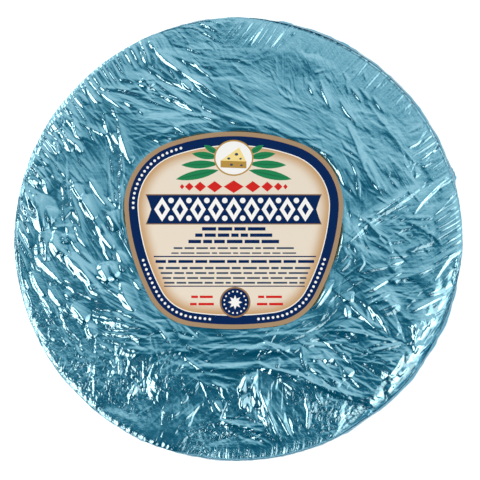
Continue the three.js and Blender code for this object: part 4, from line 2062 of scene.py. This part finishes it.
    def _banner(self) -> list[Patch]:
        """Draws a navy banner with notched ends and a white frieze.

        Returns:
            Its patches.
        """
        y, half_height, pitch = 9.6, 6.25, 7.9
        grounds = ((Ink.BROWN, 38.9, half_height + 0.45, 36.0), (Ink.NAVY, 38.4, half_height, 36.4))
        made = []
        for ink, end, half, notch in grounds:
            left = [(-end, y + half), (-notch, y), (-end, y - half)]
            right = [(end, y - half), (notch, y), (end, y + half)]
            made.append(Patch(ink, left + right))
        for i in range(-4, 5):
            made.append(Patch(Ink.WHITE, oval(i * pitch, y, 3.5, 5.4, 4)))
            made.append(Patch(Ink.NAVY, oval(i * pitch, y, 1.5, 2.5, 4)))
        for i in range(-4, 4):
            for up in (-3.9, 3.9):
                made.append(Patch(Ink.WHITE, oval((i + 0.5) * pitch, y + up, 1.25, 1.25, 12)))
        return made

    def _badge(self) -> list[Patch]:
        """Draws a navy disc with a brown ring and a white rosette.

        Returns:
            Its patches.
        """
        x, y, points = 0.6, -31.4, 16
        long, short, dots_at, dot = 3.2, 1.7, 4.8, 0.4
        step = 2 * math.pi / points
        star, dots = [], []
        for i in range(points):
            reach = long if i % 2 == 0 else short
            star.append((x + reach * math.cos(i * step), y + reach * math.sin(i * step)))
            turn = (i + 0.5) * step
            dots.append(oval(x + dots_at * math.cos(turn), y + dots_at * math.sin(turn), dot, dot, 8))
        return [
            Patch(Ink.BROWN, oval(x, y, 6.8, 6.8, 48)),
            Patch(Ink.NAVY, oval(x, y, 6.1, 6.1, 48)),
            Patch(Ink.WHITE, star),
            *(Patch(Ink.WHITE, outline) for outline in dots),
        ]

    def _divide(self, patches: list[Patch]) -> tuple[Array, list[list[int]], list[Ink]]:
        """Divides the label into triangles along the edges of its print.

        Args:
            patches: The print from first to last.

        Returns:
            Points about the label's centre, faces, and each face's ink.
        """
        corners: list[Vector] = []
        edges: list[tuple[int, int]] = []
        for patch in patches:
            start = len(corners)
            count = len(patch.outline)
            corners += [Vector(corner) for corner in patch.outline]
            edges += [(start + i, start + (i + 1) % count) for i in range(count)]
        ticks = np.arange(-self.grid_reach, self.grid_reach, self.grid)
        grid_x, grid_y = (axis.ravel() for axis in np.meshgrid(ticks, ticks))
        grid_x = grid_x + self.grid / 2 * (np.round(grid_y / self.grid).astype(int) % 2)
        centre_x, centre_y = self.shape.centre
        inside = self.shape.outside(grid_x + centre_x, grid_y + centre_y) < -self.grid_inset
        corners += [Vector(spot) for spot in zip(grid_x[inside], grid_y[inside])]
        weld = 1e-4
        found = delaunay_2d_cdt(corners, edges, [], 0, weld)
        points = np.array([tuple(corner) for corner in found[0]])
        faces = np.array(found[2])
        middle = points[faces].mean(axis=1)
        ink_at = np.full(len(faces), -1)
        order = list(Ink)
        for patch in patches:
            if patch.ink is not None:
                ink_at[encloses(patch.outline, middle[:, 0], middle[:, 1])] = order.index(patch.ink)
        keep = ink_at >= 0
        return points, faces[keep].tolist(), [order[i] for i in ink_at[keep]]

    def _lie(self, x: Array, y: Array) -> tuple[Array, Array, Array]:
        """Gives how the paper lies: in low waves, over the foil under it.

        Args:
            x: First coordinates about the label's centre.
            y: Second coordinates.

        Returns:
            Height over the flat sheet and its slopes along x and y.
        """
        height, slope_x, slope_y = np.zeros(len(x)), np.zeros(len(x)), np.zeros(len(x))
        for length, way, shift, rise in self.waves:
            turn = 2 * math.pi / length
            phase = turn * (x * math.cos(way) + y * math.sin(way)) + shift
            height += rise * np.sin(phase)
            slope_x += rise * turn * math.cos(way) * np.cos(phase)
            slope_y += rise * turn * math.sin(way) * np.cos(phase)
        return height, slope_x, slope_y


def encloses(outline: Sequence[Point], x: Array, y: Array) -> Array:
    """Tells which points lie inside an outline.

    Args:
        outline: Corners of the outline.
        x: First coordinates.
        y: Second coordinates.

    Returns:
        True for each point inside.
    """
    inside = np.zeros(len(x), dtype=bool)
    for (ax, ay), (bx, by) in zip(outline, [*outline[1:], outline[0]]):
        if ay == by:
            continue
        crosses = (ay > y) != (by > y)
        inside ^= crosses & (x < ax + (bx - ax) * (y - ay) / (by - ay))
    return inside


@dataclass(frozen=True)
class PrintedPaper:
    """Coated label paper, printed in flat inks, that lies under the same clear film as the foil.

    The paper itself is matt. The film gives it a soft sheen, which lifts the dark inks a little.
    """

    ink: Ink
    roughness: float = 0.5
    sheen: float = 0.2
    film_share: float = 0.15
    film_roughness: float = 0.16
    warm_edge: str = "#bf9666"

    def material(self) -> bpy.types.Material:
        """Makes the paper's material in this ink.

        Returns:
            The new material.
        """
        made = bpy.data.materials.new(f"printed_paper_{self.ink.name.lower()}")
        made.use_nodes = True
        tree = made.node_tree
        tree.nodes.clear()
        shader = add_node(
            tree,
            "BsdfPrincipled",
            {
                "Base Color": linear(self.ink.value),
                "Roughness": self.roughness,
                "Specular IOR Level": self.sheen,
                "Coat Weight": self.film_share,
                "Coat Roughness": self.film_roughness,
            },
        )
        if self.ink is Ink.CREAM:
            warmth = add_node(tree, "Attribute", attribute_name="warmth")
            blend = add_node(tree, "ValToRGB", {"Fac": warmth.outputs["Fac"]})
            start, end = blend.color_ramp.elements
            start.color, end.color = linear(self.ink.value), linear(self.warm_edge)
            tree.links.new(blend.outputs["Color"], shader.inputs["Base Color"])
        out = add_node(tree, "OutputMaterial")
        tree.links.new(shader.outputs["BSDF"], out.inputs["Surface"])
        return made


# Studio


@dataclass(frozen=True)
class SoftBox:
    """An oblong lamp behind a white cloth, aimed at the wheel."""

    name: str
    azimuth: float
    lean: float
    size: Point
    glow: float
    tint: str = "#ffe9de"
    distance: float = 1.2

    def direction(self) -> Vector:
        """Gives the way from the wheel to the lamp.

        Returns:
            Vector of length 1.
        """
        azimuth, lean = math.radians(self.azimuth), math.radians(self.lean)
        out = math.sin(lean)
        return Vector((math.cos(azimuth) * out, math.sin(azimuth) * out, math.cos(lean)))


@dataclass(frozen=True)
class Studio:
    """A lit white sweep, soft boxes round it, and a camera that looks straight down on the label.

    The walls hold the room's colours, from its dark side at -1 to its pale side at 1.
    """

    frame_pixels: int = 480
    wheel_pixels: float = 450.6
    wheel_centre: Point = (238.5, 239.5)
    rim_drop: float = 8.0
    lens: float = 200.0
    sensor: float = 36.0
    floor_half: float = 3.0
    floor_drop: float = 0.2
    floor_colour: str = "#f4f4f4"
    floor_glow: float = 0.45
    bright_side: float = 65.0
    wall_strength: float = 1.3
    black_level: float = 0.008
    walls: tuple[tuple[float, str], ...] = (
        (-1.0, "#194e62"),
        (-0.45, "#215b6d"),
        (-0.2, "#3a6e80"),
        (-0.08, "#548593"),
        (0.0, "#6e99a6"),
        (0.08, "#8eb1bc"),
        (0.2, "#a7c3cb"),
        (0.45, "#cddade"),
        (0.62, "#f1f3f4"),
        (0.8, "#ccd8dc"),
        (1.0, "#bfcfd5"),
    )
    boxes: tuple[SoftBox, ...] = (
        SoftBox("left_bank", 212.0, 46.0, (0.94, 0.62), 4.2),
        SoftBox("far_left_box", 150.0, 66.0, (0.85, 0.56), 4.2),
        SoftBox("right_box", -38.0, 68.0, (0.85, 0.46), 4.2),
        SoftBox("right_sheet", -32.0, 45.0, (1.0, 0.56), 1.6, "#ffe6da"),
    )

    def build(self) -> None:
        """Sets up the camera, floor, lights and surroundings."""
        self._camera()
        self._floor()
        self._lights()
        self._world()
        view = bpy.context.scene.view_settings
        view.view_transform = "Standard"
        view.use_curve_mapping = True
        view.curve_mapping.black_level = (self.black_level,) * 3
        view.curve_mapping.update()

    def _camera(self) -> None:
        """Places the camera so that the wheel fills the picture as in the photograph."""
        low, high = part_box(WHEEL_NODE)
        width = high[0] - low[0]
        pixel = width / self.wheel_pixels
        half = self.frame_pixels / 2
        rim_height = high[2] - self.rim_drop * MM
        distance = pixel * self.frame_pixels * self.lens / self.sensor
        data = bpy.data.cameras.new("camera")
        data.lens = self.lens
        data.sensor_width = self.sensor
        data.clip_end = 10.0
        camera = bpy.data.objects.new("camera", data)
        camera.location = (
            (half - self.wheel_centre[0]) * pixel,
            (self.wheel_centre[1] - half) * pixel,
            rim_height + distance,
        )
        bpy.context.scene.collection.objects.link(camera)
        bpy.context.scene.camera = camera

    def _floor(self) -> None:
        """Lays the pale floor under the wheel."""
        mesh = bpy.data.meshes.new("floor")
        corners = oblong(0.0, 0.0, 2 * self.floor_half, 2 * self.floor_half)
        mesh.from_pydata([(x, y, 0) for x, y in corners], [], [(0, 1, 2, 3)])
        floor = bpy.data.objects.new("floor", mesh)
        floor.location.z = -self.floor_drop * MM
        made = bpy.data.materials.new("white_sweep")
        made.use_nodes = True
        shader = made.node_tree.nodes["Principled BSDF"]
        shader.inputs["Base Color"].default_value = linear(self.floor_colour)
        shader.inputs["Roughness"].default_value = 0.9
        shader.inputs["Emission Color"].default_value = (1, 1, 1, 1)
        shader.inputs["Emission Strength"].default_value = self.floor_glow
        mesh.materials.append(made)
        bpy.context.scene.collection.objects.link(floor)

    def _lights(self) -> None:
        """Hangs the soft boxes."""
        for box in self.boxes:
            data = bpy.data.lights.new(box.name, "AREA")
            data.shape = "RECTANGLE"
            data.size, data.size_y = box.size
            data.energy = box.glow * math.pi * box.size[0] * box.size[1]
            data.color = linear(box.tint)[:3]
            lamp = bpy.data.objects.new(box.name, data)
            way = box.direction()
            lamp.location = way * box.distance
            lamp.rotation_euler = way.to_track_quat("Z", "Y").to_euler()
            bpy.context.scene.collection.objects.link(lamp)

    def _world(self) -> None:
        """Surrounds the scene with soft light, paler on the far right than on the near left."""
        world = bpy.data.worlds.new("surroundings")
        world.use_nodes = True
        tree = world.node_tree
        background = tree.nodes["Background"]
        where = add_node(tree, "TexCoord")
        turn = math.radians(self.bright_side)
        across = add_node(
            tree,
            "VectorMath",
            {0: where.outputs["Generated"], 1: (math.cos(turn), math.sin(turn), 0.0)},
            operation="DOT_PRODUCT",
        )
        share = add_node(
            tree, "MapRange", {"Value": across.outputs["Value"], "From Min": -1.0, "From Max": 1.0}
        )
        ramp = add_node(tree, "ValToRGB", {"Fac": share.outputs["Result"]})
        stops = ramp.color_ramp
        stops.interpolation = "LINEAR"
        while len(stops.elements) < len(self.walls):
            stops.elements.new(0.5)
        for element, (at, colour) in zip(stops.elements, self.walls):
            element.position = (at + 1) / 2
            element.color = linear(colour)
        tree.links.new(ramp.outputs["Color"], background.inputs["Color"])
        background.inputs["Strength"].default_value = self.wall_strength
        bpy.context.scene.world = world


def main() -> None:
    """Builds the scene and reports each piece."""
    logging.basicConfig(level=logging.INFO, format="%(name)s: %(message)s")
    Studio().build()
    wrap = FoilWrap()
    finish = LacqueredFoil().material(wrap.crumple.turns)
    for piece in wrap.build():
        piece.data.materials.append(finish)
        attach(piece, BODY)
        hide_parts(WHEEL_NODE)
    label = PrintedLabel().build()
    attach(label, BODY)
    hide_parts(LABEL_NODE)


if __name__ == "__main__":
    main()
